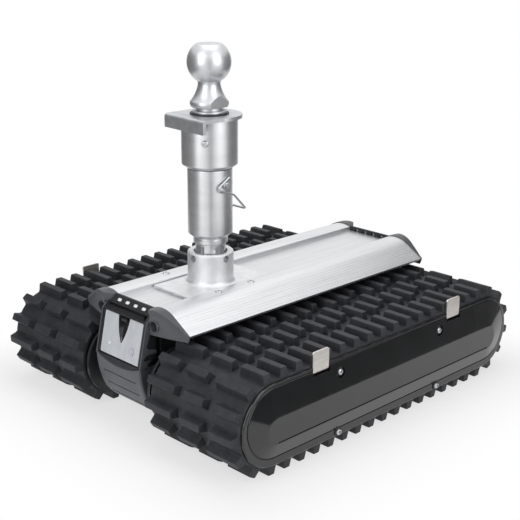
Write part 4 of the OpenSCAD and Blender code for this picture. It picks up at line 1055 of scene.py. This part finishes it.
def bezel_front(z):
    """Front of the black frame, which leans as the panel does."""
    return FACE_Y - 1 - (FACE_Z - z) * math.tan(FACE_LEAN)


def front_bezel():
    half = CHEEK_X - 0.3
    count = 20
    rings = []
    for i in range(count + 1):
        x = -half + 2 * half * i / count
        ease = 0.5 if i in (0, count) else 0
        low = smile_z(x) + 0.2
        back = -DECK_END - CAP_WALL
        rings.append(
            [
                (x, back, low + ease),
                (x, bezel_front(low) + 0.6 + ease, low + ease),
                (x, bezel_front(low + 0.6) + ease, low + 0.6 + ease),
                (x, bezel_front(HOOD_LOW_Z) + ease, HOOD_LOW_Z - ease),
                (x, hood_front(HOOD_Z) + ease, HOOD_Z - ease),
                (x, back, HOOD_Z - ease),
            ]
        )
    side = FACE_W / 2 + 0.5
    opening = rectangle(-side, WINDOW_LOW_Z, side, FACE_Z + 0.5, 0.8)
    window = prism(rounded(opening), -FAR, -FAR / 2, along_y)
    return soften(worked(loft(rings), [window]), 0.3, 2, 50)


def bow_low(x):
    """Lower edge of a bow cover, which rises round the corners."""
    over = max(0.0, abs(x) - (BODY_X - BOW_CORNER))
    return BOW_LOW_Z + BOW_CORNER - math.sqrt(BOW_CORNER**2 - over**2)


def bow_front(x, z, top):
    """Front of a bow cover: flat across, and swept back towards the ground."""
    drop = max(0.0, BOW_START_Z - z)
    y = BOW_Y + BOW_R - math.sqrt(BOW_R**2 - drop**2)
    over = max(0.0, abs(x) - (BODY_X - BOW_EDGE))
    y += BOW_EDGE - math.sqrt(BOW_EDGE**2 - over**2)
    for line in BOW_LINES:
        gap = abs(z - line)
        if gap < BOW_LINE_W and abs(x) < BOW_LINE_X:
            y += BOW_LINE_D * (1 - (gap / BOW_LINE_W) ** 2)
    return y + max(0.0, BOW_TOP_EASE - (top - z)) + max(0.0, BOW_LOW_EASE - (z - bow_low(x)))


def bow_rings(top_of, back):
    """Upright rings across a bow cover, closer together towards its sides."""
    columns, rows = 64, 150
    rings = []
    for i in range(columns + 1):
        x = BODY_X * math.sin(math.pi * (i / columns - 0.5))
        top, low = top_of(x), bow_low(x)
        heights = [low + (top - low) * j / rows for j in range(rows + 1)]
        front = [(x, bow_front(x, z, top), z) for z in heights]
        rings.append([(x, back, low), *front, (x, back, top)])
    return rings


def flank_slot(radius, end_y):
    """Edge of the long slot in a flank: from its open rear end round its front and back."""
    front = arc(FLANK_SLOT_Y + FLANK_SLOT_H / 2, FLANK_SLOT_Z, radius, math.pi / 2, 1.5 * math.pi, 12)
    return [(end_y, FLANK_SLOT_Z + radius), *front, (end_y, FLANK_SLOT_Z - radius)]


def cheek():
    """Flank of the front bow cover beside the panel, with its six-sided window and its long slot."""
    back, low = -DECK_END - CAP_WALL, smile_z(CHEEK_X) - 1.5
    outline = rounded(
        [
            (hood_front(HOOD_Z) + CHEEK_DEPTH, HOOD_Z),
            (hood_front(HOOD_Z) - 0.5, HOOD_Z),
            (bezel_front(HOOD_LOW_Z) - 0.5, HOOD_LOW_Z, 1.5),
            (bezel_front(low) - 0.5, low, 0.5),
            (back, low),
            (back, FLANK_TOP_Z),
            (bezel_front(FLANK_TOP_Z) + CHEEK_DEPTH, FLANK_TOP_Z + 4, 4.0),
        ],
        steps=4,
    )
    window = rounded([(*corner, 1.0) for corner in FLANK_WINDOW])
    slot = flank_slot(FLANK_SLOT_H / 2, -DECK_END)
    cuts = [prism(hole, CHEEK_X - 5, BODY_X + 5, along_x) for hole in (window, slot)]
    return soften(worked(prism(outline, CHEEK_X, BODY_X, along_x), cuts), 0.4, 2, 50)


def front_bow_cover():
    bow = bow_rings(lambda x: smile_z(min(abs(x), CHEEK_X)) - 0.3, -DECK_END - CAP_WALL)
    return joined(loft(bow), pair(cheek))


def slot_rim():
    """Bright folded edge of the long slot in a flank."""
    half, end_y = FLANK_SLOT_H / 2, -DECK_END - CAP_WALL
    outline = flank_slot(half - 0.05, end_y) + flank_slot(half - 0.9, end_y)[::-1]
    return prism(outline, CHEEK_X, BODY_X + 0.8, along_x)


def rear_bow_cover():
    bow = loft(bow_rings(lambda x: SEAM_Z - 0.3, -BODY_REAR_Y))
    back = -BODY_REAR_Y
    upper = rounded(
        [
            (-DECK_END - CAP_WALL, HOOD_Z),
            (FACE_Y + 1.7, HOOD_Z, 1.5),
            (BOW_Y + 0.5, SEAM_Z + 0.2, 2.0),
            (back, SEAM_Z + 0.2),
            (back, CHANNEL_Z - DECK_T),
            (-DECK_END - CAP_WALL, CHANNEL_Z - DECK_T),
        ],
        steps=4,
    )
    return rear_of(joined(bow, soften(prism(upper, -BODY_X, BODY_X, along_x), 1.2, 3, 50)))


def across_face(v, w, u):
    """A point of a section that is drawn out across the control panel."""
    return on_face(u, v, w)


def on_button(a, b, c):
    return on_face(BUTTON_U + a, BUTTON_V + b, c)


def on_lamp(a, b, c):
    return on_face(-BUTTON_U + a, BUTTON_V + b, c)


def scoop_half(v):
    """Half width of the thumb scoop at a distance below its mouth."""
    t = min(max(v / SCOOP_H, 0.0), 1.0)
    return max(0.9, SCOOP_W / 2 * (1 - t**1.55) ** 0.8)


def scoop_outline(grow):
    stops = [SCOOP_H * i / 24 for i in range(25)]
    right = [(scoop_half(v) + grow, v) for v in stops]
    left = [(-u, v) for u, v in reversed(right)]
    return [(right[0][0], -grow - 0.5)] + right + left + [(left[-1][0], -grow - 0.5)]


def control_panel():
    half = FACE_W / 2
    sheet = prism(rounded(rectangle(-half, 0, half, FACE_H, FACE_CORNER)), -FACE_T, 0, on_face)
    cuts = [
        prism(scoop_outline(0.3), -9, 5, on_face),
        bar(BUTTON_R + 0.25, -9, 5, on_button, 40),
        bar(LAMP_R + 0.1, -9, 5, on_lamp, 40),
    ]
    return soften(worked(sheet, cuts), 0.35, 2, 45)


def thumb_scoop():
    """A trough that is deepest at its mouth and runs out at its tip."""
    rings = []
    for i in range(31):
        v = SCOOP_H * i / 30
        half, deep = scoop_half(v), max(0.6, SCOOP_D * (1 - (v / SCOOP_H) ** 2.2))
        inner = max(0.3, half - 1.0)
        floor = inner * 0.55
        rings.append(
            [
                on_face(u, v, w)
                for u, w in (
                    (-half, -deep - 1.2),
                    (-half, -0.2),
                    (-inner, -0.35),
                    (-floor, -deep * 0.85),
                    (0, -deep),
                    (floor, -deep * 0.85),
                    (inner, -0.35),
                    (half, -0.2),
                    (half, -deep - 1.2),
                )
            ]
        )
    return loft(rings)


def power_button():
    profile = [
        (3.0, -4.0),
        (BUTTON_R, -4.0),
        (BUTTON_R, 0.9),
        (BUTTON_R - 0.15, 1.25),
        (BUTTON_R - 0.5, 1.45),
        (BUTTON_R - 1.0, 1.5),
        (BUTTON_R - 1.1, 1.0),
        (BUTTON_R - 1.6, 1.0),
        (BUTTON_R - 1.7, 1.4),
        (1.2, 1.3),
    ]
    return turned(profile, on_button, steps=48)


def status_lamp():
    dome = [(LAMP_R - 0.1, 0.15), (LAMP_R - 0.4, 0.26), (LAMP_R - 0.9, 0.3)]
    return turned([(LAMP_R, -3.5), (LAMP_R, 0.0), *dome], on_lamp, steps=32)


def battery_latch():
    section = [
        (LATCH_HIGH_V, -LATCH_D),
        (LATCH_LOW_V, -LATCH_D),
        (LATCH_LOW_V, -0.6, 0.8),
        (LATCH_HIGH_V + 1.7, LATCH_PROUD, 1.0),
        (LATCH_HIGH_V, LATCH_PROUD, 0.6),
    ]
    return soften(prism(rounded(section, steps=4), -LATCH_W / 2, LATCH_W / 2, across_face), 0.4, 2, 50)


# Mast and head


def turned_by(turn):
    """A placing turned about the mast's axis."""

    def place(a, b, c):
        turn_x = a * math.cos(turn) - b * math.sin(turn)
        turn_y = a * math.sin(turn) + b * math.cos(turn)
        return on_mast(turn_x, turn_y, c)

    return place


def mast_socket():
    radius, fillet = SOCKET_R, SOCKET_FILLET
    profile = [
        (BUSH_R, BASE_Z - 2.9),
        (radius + fillet + 0.2, BASE_Z - 2.9),
        (radius + fillet + 0.2, BASE_Z + 0.05),
        *arc(radius + fillet, BASE_Z + fillet, fillet, -math.pi / 2, -math.pi, 8),
        (radius, SOCKET_Z - 2.2),
        (radius - 0.3, SOCKET_Z - 1.2),
        (radius - 1.8, SOCKET_Z),
        (BUSH_R + 2.4, SOCKET_Z),
        (BUSH_R + 1.6, SOCKET_Z - 0.4),
        (BUSH_R, SOCKET_Z - 0.8),
    ]
    socket = turned(profile, on_mast, hollow=True, steps=128)
    outline = rounded(rectangle(-BASE_W / 2, -BASE_L / 2, BASE_W / 2, BASE_L / 2, BASE_CORNER))
    plate = prism(outline, CHANNEL_Z + 0.02, BASE_Z, on_mast)
    plate = soften(worked(plate, [bar(24, CHANNEL_Z - 3, BASE_Z + 2, on_mast, 96)]), 1.5, 4, 60)
    cuts = []
    for way in (along_x, along_y):
        cuts.append(bar(SOCKET_HOLE_R, -40, 40, shifted(way, (0, MAST_Y, SOCKET_HOLE_Z)), 40))
    return soften(worked(socket, cuts, [plate]), 0.35, 2, 60)


def mast_spigot():
    radius, collar = SPIGOT_R, COLLAR_R
    profile = [
        (radius - 1, CHANNEL_Z + 1),
        (radius, CHANNEL_Z + 2),
        (radius, COLLAR_Z - 0.3),
        (radius + 0.3, COLLAR_Z),
        (collar - 0.7, COLLAR_Z),
        (collar, COLLAR_Z + 0.7),
        (collar, TUBE_Z - 2.2),
        (collar - 1.2, TUBE_Z - 1.9),
        (collar - 1.2, TUBE_Z),
    ]
    half, deep, out = SPIGOT_SLOT_W / 2, radius - SPIGOT_SLOT_D, radius + 4
    mouth = rounded([(deep, -half, 1.0), (out, -half), (out, half), (deep, half, 1.0)])
    cuts = []
    for i in range(4):
        place = turned_by(i * math.pi / 2)
        cuts.append(prism(mouth, SOCKET_Z - SPIGOT_UP / 4, SOCKET_Z + SPIGOT_UP * 0.75, place))
    return soften(worked(turned(profile, on_mast, steps=128), cuts), 0.3, 2, 50)


def mast_tube():
    foot, bore = COLLAR_R - 0.2, POST_BORE_R
    profile = [
        (0.2, TUBE_Z + 0.02),
        (foot - 0.3, TUBE_Z + 0.02),
        (foot + 0.2, TUBE_Z + 0.3),
        (TUBE_R - 0.5, TUBE_Z + 4.5),
        (TUBE_R - 0.1, TUBE_Z + 5.0),
        (TUBE_R, TUBE_Z + 5.6),
        (TUBE_R, TUBE_TOP_Z - 0.8),
        (TUBE_R - 0.25, TUBE_TOP_Z - 0.25),
        (TUBE_R - 0.8, TUBE_TOP_Z),
        (bore + 0.5, TUBE_TOP_Z),
        (bore, TUBE_TOP_Z - 0.5),
        (bore, TUBE_Z + 10),
        (0.2, TUBE_Z + 10),
    ]
    hole = bar(PIN_R + 0.05, -40, 40, on_pin, 48)
    return soften(worked(turned(profile, on_mast, steps=160), [hole]), 0.3, 2, 60)


def head_sleeve():
    bore, well = SLEEVE_BORE_R, SLEEVE_R - 7
    profile = [
        (bore, SLEEVE_Z + 0.5),
        (bore + 0.5, SLEEVE_Z),
        (TUBE_R - 0.2, SLEEVE_Z),
        (TUBE_R + 0.3, SLEEVE_Z + 0.3),
        (SLEEVE_R - 0.5, SLEEVE_Z + 4.1),
        (SLEEVE_R - 0.1, SLEEVE_Z + 4.6),
        (SLEEVE_R, SLEEVE_Z + 5.2),
        (SLEEVE_R, TOP_Z - 0.8),
        (SLEEVE_R - 0.25, TOP_Z - 0.25),
        (SLEEVE_R - 0.8, TOP_Z),
        (well, TOP_Z),
        (well, SLEEVE_Z + 20),
        (bore, SLEEVE_Z + 20),
    ]
    hole = bar(2.2, -9, 4, on_sleeve_side, 32)
    return worked(turned(profile, on_mast, hollow=True, steps=160), [hole])


def on_sleeve_side(a, b, c):
    """A point about the sleeve's small screw: c runs out from the sleeve's surface."""
    across = Vector((math.cos(SCREW_TURN), math.sin(SCREW_TURN)))
    out = Vector((math.sin(SCREW_TURN), -math.cos(SCREW_TURN)))
    spot = out * (SLEEVE_R + c) + across * a
    return (spot.x, MAST_Y + spot.y, SLEEVE_SCREW_Z + b)


def sleeve_screw():
    return socket_screw(SLEEVE_SCREW_R, 2.5, 1.9, on_sleeve_side, under=7)


def head_plate():
    """Bent plate, a little turned: round behind the ball, square in front, with a lip turned down."""
    on_head = turned_by(TOP_TURN)
    half = TOP_W / 2
    meet = math.acos(half / TOP_R)
    bend_y = -LIP_OUT + 10
    outline = [(half, bend_y)] + arc(0, 0, TOP_R, -meet, math.pi + meet, 60)[1:-1] + [(-half, bend_y)]
    flat = prism(outline, TOP_Z, WASHER_Z, on_head)
    section = rounded(
        [
            (bend_y + 0.5, TOP_Z),
            (-LIP_OUT + TOP_T, TOP_Z, 1.0),
            (-LIP_OUT + TOP_T, TOP_Z - LIP_H),
            (-LIP_OUT, TOP_Z - LIP_H),
            (-LIP_OUT, WASHER_Z, 4.0),
            (bend_y + 0.5, WASHER_Z),
        ],
        steps=8,
    )
    lip = prism(section, -half, half, lambda a, b, c: on_head(c, a, b))
    hole = bar(SHANK_R + 0.1, TOP_Z - 2, WASHER_Z + 2, on_head, 64)
    return soften(worked(flat, [hole], [lip]), 1.3, 4, 50)


def ball_washer():
    """Washer with a flange, and a narrower neck that leaves a gap under the ball's foot."""
    flange_z = WASHER_Z + SHADE_RING_H + 0.1
    flange_top = flange_z + 2.6
    profile = rounded(
        [
            (SHANK_R + 0.1, WASHER_Z),
            (WASHER_R - 3, WASHER_Z),
            (WASHER_R - 3, flange_z),
            (WASHER_R, flange_z, 0.5),
            (WASHER_R, flange_top, 0.8),
            (WASHER_R - 5, flange_top + 0.3),
            (WASHER_R - 5, FOOT_Z - 0.02),
            (SHANK_R + 0.1, FOOT_Z - 0.02),
        ],
        steps=4,
    )
    return turned(profile, on_mast, hollow=True, steps=96)


def washer_seal():
    """Black ring on the head plate, under the washer's flange: painted shade for the dark gap round the
    washer.
    """
    section = [(WASHER_R - 2.8, 0.02), (SHADE_RING_R, 0.02, 0.3), (SHADE_RING_R, SHADE_RING_H, 0.6), (WASHER_R - 2.8, SHADE_RING_H)]
    profile = [(r, WASHER_Z + z) for r, z in rounded(section, steps=3)]
    return turned(profile, on_mast, hollow=True, steps=96)


def tow_ball():
    """Ball, hollow flare and foot turned in one piece, with two wrench flats across the flare."""
    rise = Vector((NECK_R - FOOT_R, FLARE_H))
    middle = Vector(((FOOT_R + NECK_R) / 2, FOOT_Z + FOOT_H + FLARE_H / 2))
    across = Vector((FLARE_H, FOOT_R - NECK_R)) / rise.length
    centre = middle + across * math.sqrt(FLARE_R**2 - rise.length_squared / 4)
    low = math.atan2(FOOT_Z + FOOT_H - centre.y, FOOT_R - centre.x)
    high = math.atan2(FOOT_Z + FOOT_H + FLARE_H - centre.y, NECK_R - centre.x)
    low, high = low % (2 * math.pi), high % (2 * math.pi)
    flat_turn = math.acos(BALL_FLAT_R / BALL_R)
    neck_turn = -math.acos(NECK_R / BALL_R)
    profile = [
        (SHANK_R, NUT_LOW_Z),
        (SHANK_R, FOOT_Z),
        (FOOT_R - 1.8, FOOT_Z),
        (FOOT_R - 1.2, FOOT_Z + 0.5),
        (FOOT_R - 0.2, FOOT_Z + 2.8),
        (FOOT_R, FOOT_Z + 3.8),
        (FOOT_R, FOOT_Z + FOOT_H - 1.2),
        (FOOT_R - 0.25, FOOT_Z + FOOT_H),
        *arc(centre.x, centre.y, FLARE_R, low, high, 20)[1:],
        *arc(0, BALL_Z, BALL_R, neck_turn + 0.03, flat_turn - 0.05, 48),
        (BALL_FLAT_R - 0.7, BALL_Z + BALL_R * math.sin(flat_turn)),
    ]
    flat, reach = FLATS_W / 2, 2 * FOOT_R
    high_z = FOOT_Z + FOOT_H + FLARE_H
    cuts = [
        slab((flat, MAST_Y - reach, FOOT_Z - 0.5), (reach, MAST_Y + reach, high_z)),
        slab((-reach, MAST_Y - reach, FOOT_Z - 0.5), (-flat, MAST_Y + reach, high_z)),
    ]
    return soften(worked(turned(profile, on_mast, steps=160), cuts), 0.25, 2, 40)


def lock_pin():
    profile = [
        (PIN_R - 0.8, -TUBE_R - 2.0),
        (PIN_R, -TUBE_R - 1.2),
        (PIN_R, TUBE_R - 1.4),
        (PIN_R - 0.4, TUBE_R - 1.0),
        (PIN_END_R, TUBE_R - 1.0),
        (PIN_END_R, WIRE_X + 2.4),
        (PIN_END_R - 0.6, WIRE_X + 3.0),
    ]
    return turned(profile, on_pin, steps=64)


def eased(route):
    """A route with its corners turned into short curves."""
    path = [Vector(route[0])]
    for before, here, after in zip(route, route[1:], route[2:]):
        here = Vector(here)
        back, ahead = Vector(before) - here, Vector(after) - here
        reach = min(BAIL_BEND, back.length / 2.2, ahead.length / 2.2)
        start, end = here + back.normalized() * reach, here + ahead.normalized() * reach
        for t in (i / 6 for i in range(7)):
            path.append(start * (1 - t) ** 2 + here * 2 * t * (1 - t) + end * t * t)
    return path + [Vector(route[-1])]


def wire_along(path):
    """A round wire along a path that is drawn from where the pin crosses the mast's axis."""
    rings = []
    side = Vector((1, 0, 0))
    for i, point in enumerate(path):
        along = (path[min(i + 1, len(path) - 1)] - path[max(i - 1, 0)]).normalized()
        side = (side - along * side.dot(along)).normalized()
        other = along.cross(side)
        ring = []
        for t in (2 * math.pi * k / 16 for k in range(16)):
            spot = point + (side * math.cos(t) + other * math.sin(t)) * WIRE_R
            ring.append((spot.x, MAST_Y + spot.y, PIN_Z + spot.z))
        rings.append(ring)
    return loft(rings)


def pin_bail():
    """Spring wire: an eye on the pin's end, a nose bent round it, a leg, and an arm behind the tube."""
    hug = PIN_END_R + WIRE_R + 0.7
    route = [
        (WIRE_X, hug * 0.9, hug * 1.6),
        (WIRE_X, -hug * 2.2, -hug * 0.3),
        (WIRE_X, -hug * 2.2, -hug * 1.3),
        (WIRE_X, hug * 2.2, -hug * 2.6),
        (WIRE_X, BAIL_BACK, -BAIL_DROP),
        (BAIL_END_X, BAIL_BACK, -BAIL_DROP),
    ]
    inside = [(EYE_BORE_R, WIRE_R, 0.4), (EYE_BORE_R, -WIRE_R, 0.4)]
    outside = [(EYE_R, -WIRE_R, 0.8), (EYE_R, WIRE_R, 0.8)]
    place = shifted(on_pin, (WIRE_X, 0, 0))
    eye = turned(rounded(inside + outside, steps=3), place, hollow=True, steps=48)
    return joined(wire_along(eased(route)), eye)


# Studio


FLOOR_SHADOW = 0.35
SHADOW_REACH = 140.0
FOOTPRINT = Vector((205, 230, 500))
FLOOR_HALF = 6000.0
ROOM_LIGHT = 0.35
FLAG_SIDE = 560.0
FLAG_END = 950.0
FLAG_H = 640.0
LEFT_FLAG_START = -430.0
RIGHT_FLAG_START = -250.0
CAMERA_FLAG_SIDE = 75.0
CAMERA_FLAG_BACK = -620.0
COVER_FLAG_X = 390.0
COVER_FLAG_START = -260.0
COVER_FLAG_END = 800.0
COVER_FLAG_H = 90.0
SOFTBOX_SIDE = 1150.0
SOFTBOX_BACK = -1250.0
SOFTBOX_UP = 900.0
SOFTBOX_W = 900.0
SOFTBOX_H = 1700.0
SOFTBOX_WATTS = 11.0
OVERHEAD_BACK = 150.0
OVERHEAD_UP = 1800.0
OVERHEAD_W = 1500.0
OVERHEAD_WATTS = 8.0
LAMP_AIM_Z = 150.0


def from_camera(right, back, up):
    """A point right of the object as the camera sees it, back from the camera, and up."""
    across = Vector((math.cos(CAMERA_AZIMUTH), math.sin(CAMERA_AZIMUTH), 0))
    away = Vector((-math.sin(CAMERA_AZIMUTH), math.cos(CAMERA_AZIMUTH), 0))
    return across * right + away * back + Vector((0, 0, up))


def place_floor():
    """White paper: it keeps a light shadow near the object, and is plain white farther off."""
    half = FLOOR_HALF
    floor = object_of("floor", slab((-half, -half, -40), (half, half, -0.05)))
    paper = bpy.data.materials.new("white_paper_sweep")
    paper.use_nodes = True
    tree = paper.node_tree
    tree.nodes.clear()
    place = add(tree, "TexCoord").outputs["Object"]
    mottle = add(tree, "TexNoise", {"Vector": place, "Scale": 1.3})
    tone = add(tree, "ValToRGB", {"Fac": mottle.outputs["Fac"]})
    tone.color_ramp.elements[0].color = colour("#f6f6f6")
    tone.color_ramp.elements[1].color = colour("#fbfbfb")
    matt = add(tree, "BsdfDiffuse", {"Color": tone.outputs["Color"]})
    white = add(tree, "Emission", {"Color": colour("#ffffff"), "Strength": 1.0})
    away = add(tree, "VectorMath", {0: place}, operation="ABSOLUTE").outputs["Vector"]
    away = add(tree, "VectorMath", {0: away, 1: FOOTPRINT * MM}, operation="SUBTRACT").outputs["Vector"]
    away = add(tree, "VectorMath", {0: away, 1: (0, 0, 0)}, operation="MAXIMUM").outputs["Vector"]
    off = add(tree, "VectorMath", {0: away}, operation="LENGTH").outputs["Value"]
    reach = {"Value": off, "From Max": SHADOW_REACH * MM, "To Min": 1 - FLOOR_SHADOW, "To Max": 1.0}
    fade = add(tree, "MapRange", reach, interpolation_type="SMOOTHSTEP").outputs["Result"]
    shown = add(tree, "Math", {0: fade, 1: seen_directly(tree)}, operation="MULTIPLY").outputs["Value"]
    sheet = {0: shown, 1: matt.outputs["BSDF"], 2: white.outputs["Emission"]}
    add(tree, "OutputMaterial", {"Surface": add(tree, "MixShader", sheet).outputs["Shader"]})
    floor.data.materials.append(paper)


def seen_directly(tree):
    """One for rays that show the background: from the camera, off a glossy surface, or through glass."""
    rays = add(tree, "LightPath").outputs
    seen = rays["Is Camera Ray"]
    for kind in ("Is Glossy Ray", "Is Transmission Ray"):
        seen = add(tree, "Math", {0: seen, 1: rays[kind]}, operation="MAXIMUM").outputs["Value"]
    return seen


def place_world():
    world = bpy.data.worlds.new("studio")
    bpy.context.scene.world = world
    world.use_nodes = True
    tree = world.node_tree
    tree.nodes.clear()
    room = add(tree, "Background", {"Color": colour("#ffffff"), "Strength": ROOM_LIGHT})
    backdrop = add(tree, "Background", {"Color": colour("#ffffff"), "Strength": 1.0})
    walls = {0: seen_directly(tree), 1: room.outputs["Background"], 2: backdrop.outputs["Background"]}
    add(tree, "OutputWorld", {"Surface": add(tree, "MixShader", walls).outputs["Shader"]})


def place_flag(name, near, far, height):
    """A grey card that stands on the floor beside the object; only reflections show it."""
    up = Vector((0, 0, height))
    corners = [near, far, far + up, near + up]
    mesh = bmesh.new()
    mesh.faces.new([mesh.verts.new(c * MM) for c in corners])
    flag = object_of(name, mesh)
    flag.data.materials.append(FINISHES["flag_cloth"])
    flag.visible_camera = False
    flag.visible_diffuse = False
    flag.visible_shadow = False


def place_lamp(name, spot, width, height, watts):
    data = bpy.data.lights.new(name, "AREA")
    data.shape = "RECTANGLE"
    data.size, data.size_y = width * MM, height * MM
    data.energy = watts
    lamp = bpy.data.objects.new(name, data)
    bpy.context.scene.collection.objects.link(lamp)
    at = spot * MM
    aim = Vector((0, 0, LAMP_AIM_Z)) * MM - at
    lamp.matrix_world = Matrix.Translation(at) @ aim.to_track_quat("-Z", "Y").to_matrix().to_4x4()


def place_studio():
    place_floor()
    place_world()
    for name, side, start in (
        ("left_flag", -FLAG_SIDE, LEFT_FLAG_START),
        ("right_flag", FLAG_SIDE, RIGHT_FLAG_START),
    ):
        place_flag(name, from_camera(side, start, 0), from_camera(side, FLAG_END, 0), FLAG_H)
    left, right = [from_camera(side * CAMERA_FLAG_SIDE, CAMERA_FLAG_BACK, 0) for side in (-1, 1)]
    place_flag("camera_flag", left, right, FLAG_H)
    front, rear = [Vector((COVER_FLAG_X, y, 0)) for y in (COVER_FLAG_START, COVER_FLAG_END)]
    place_flag("cover_flag", front, rear, COVER_FLAG_H)
    for name, side in (("left_softbox", -SOFTBOX_SIDE), ("right_softbox", SOFTBOX_SIDE)):
        spot = from_camera(side, SOFTBOX_BACK, SOFTBOX_UP)
        place_lamp(name, spot, SOFTBOX_W, SOFTBOX_H, SOFTBOX_WATTS)
    overhead = from_camera(0, OVERHEAD_BACK, OVERHEAD_UP)
    place_lamp("overhead_softbox", overhead, OVERHEAD_W, OVERHEAD_W, OVERHEAD_WATTS)


def dress_frame():
    """Gives each CAD node its slot's finish."""
    for part in frame["record"]["subparts"]:
        node = frame["nodes"][part["node"]]
        node.data.materials.clear()
        node.data.materials.append(FINISHES[part["material_slot"]])


def build():
    place_camera()
    dress_frame()
    dressed("right_belt", belt(2), "track_rubber")
    dressed("left_belt", mirrored(belt(1)), "track_rubber")
    both_sides(dressed, "side_cover", side_cover, "gloss_black")
    both_sides(dressed, "cover_screws", cover_screws, "zinc_screw")
    both_sides(dressed, "cover_tabs", cover_tabs, "tab_steel")
    both_sides(trim, "cover_washers", cover_washers, "black_steel")
    dressed("deck", deck(), "deck_aluminium", angle=25)
    dressed("deck_screws", deck_screws(), "cast_screw")
    dressed("front_end_cap", end_cap(), "grey_moulding")
    trim("front_hood", front_hood(), "black_moulding")
    trim("slot_lenses", slot_lenses(), "lamp_lens")
    dressed("rear_end_cap", rear_of(end_cap()), "grey_moulding")
    trim("rear_wall", rear_wall(), "black_moulding")
    dressed("end_cap_screws", end_cap_screws(), "zinc_screw")
    dressed("front_bezel", front_bezel(), "black_moulding")
    dressed("front_bow_cover", front_bow_cover(), "grey_moulding")
    trim("slot_rims", pair(slot_rim), "zinc_screw")
    dressed("rear_bow_cover", rear_bow_cover(), "grey_moulding")
    dressed("control_panel", control_panel(), "pale_panel", "battery")
    dressed("thumb_scoop", thumb_scoop(), "gloss_black", "battery")
    dressed("status_lamp", status_lamp(), "lamp_lens", "battery")
    dressed("power_button", power_button(), "pale_panel", "button")
    dressed("battery_latch", battery_latch(), "black_moulding", "latch")
    dressed("mast_socket", mast_socket(), "cast_aluminium")
    dressed("mast_spigot", mast_spigot(), "turned_steel", "mast")
    dressed("mast_tube", mast_tube(), "turned_steel", "mast")
    dressed("head_sleeve", head_sleeve(), "turned_steel", "head")
    dressed("head_plate", head_plate(), "zinc_plate", "head")
    dressed("sleeve_screw", sleeve_screw(), "zinc_screw", "head")
    dressed("ball_washer", ball_washer(), "zinc_plate", "head")
    # Painted shade: a black ring round the washer, where the gap under it is dark
    trim("washer_seal", washer_seal(), "black_moulding", "head")
    dressed("tow_ball", tow_ball(), "ball_steel", "head")
    dressed("lock_pin", lock_pin(), "turned_steel", "pin")
    dressed("pin_bail", pin_bail(), "zinc_screw", "bail")
    place_studio()


bpy.context.scene.view_settings.view_transform = "Standard"
build()
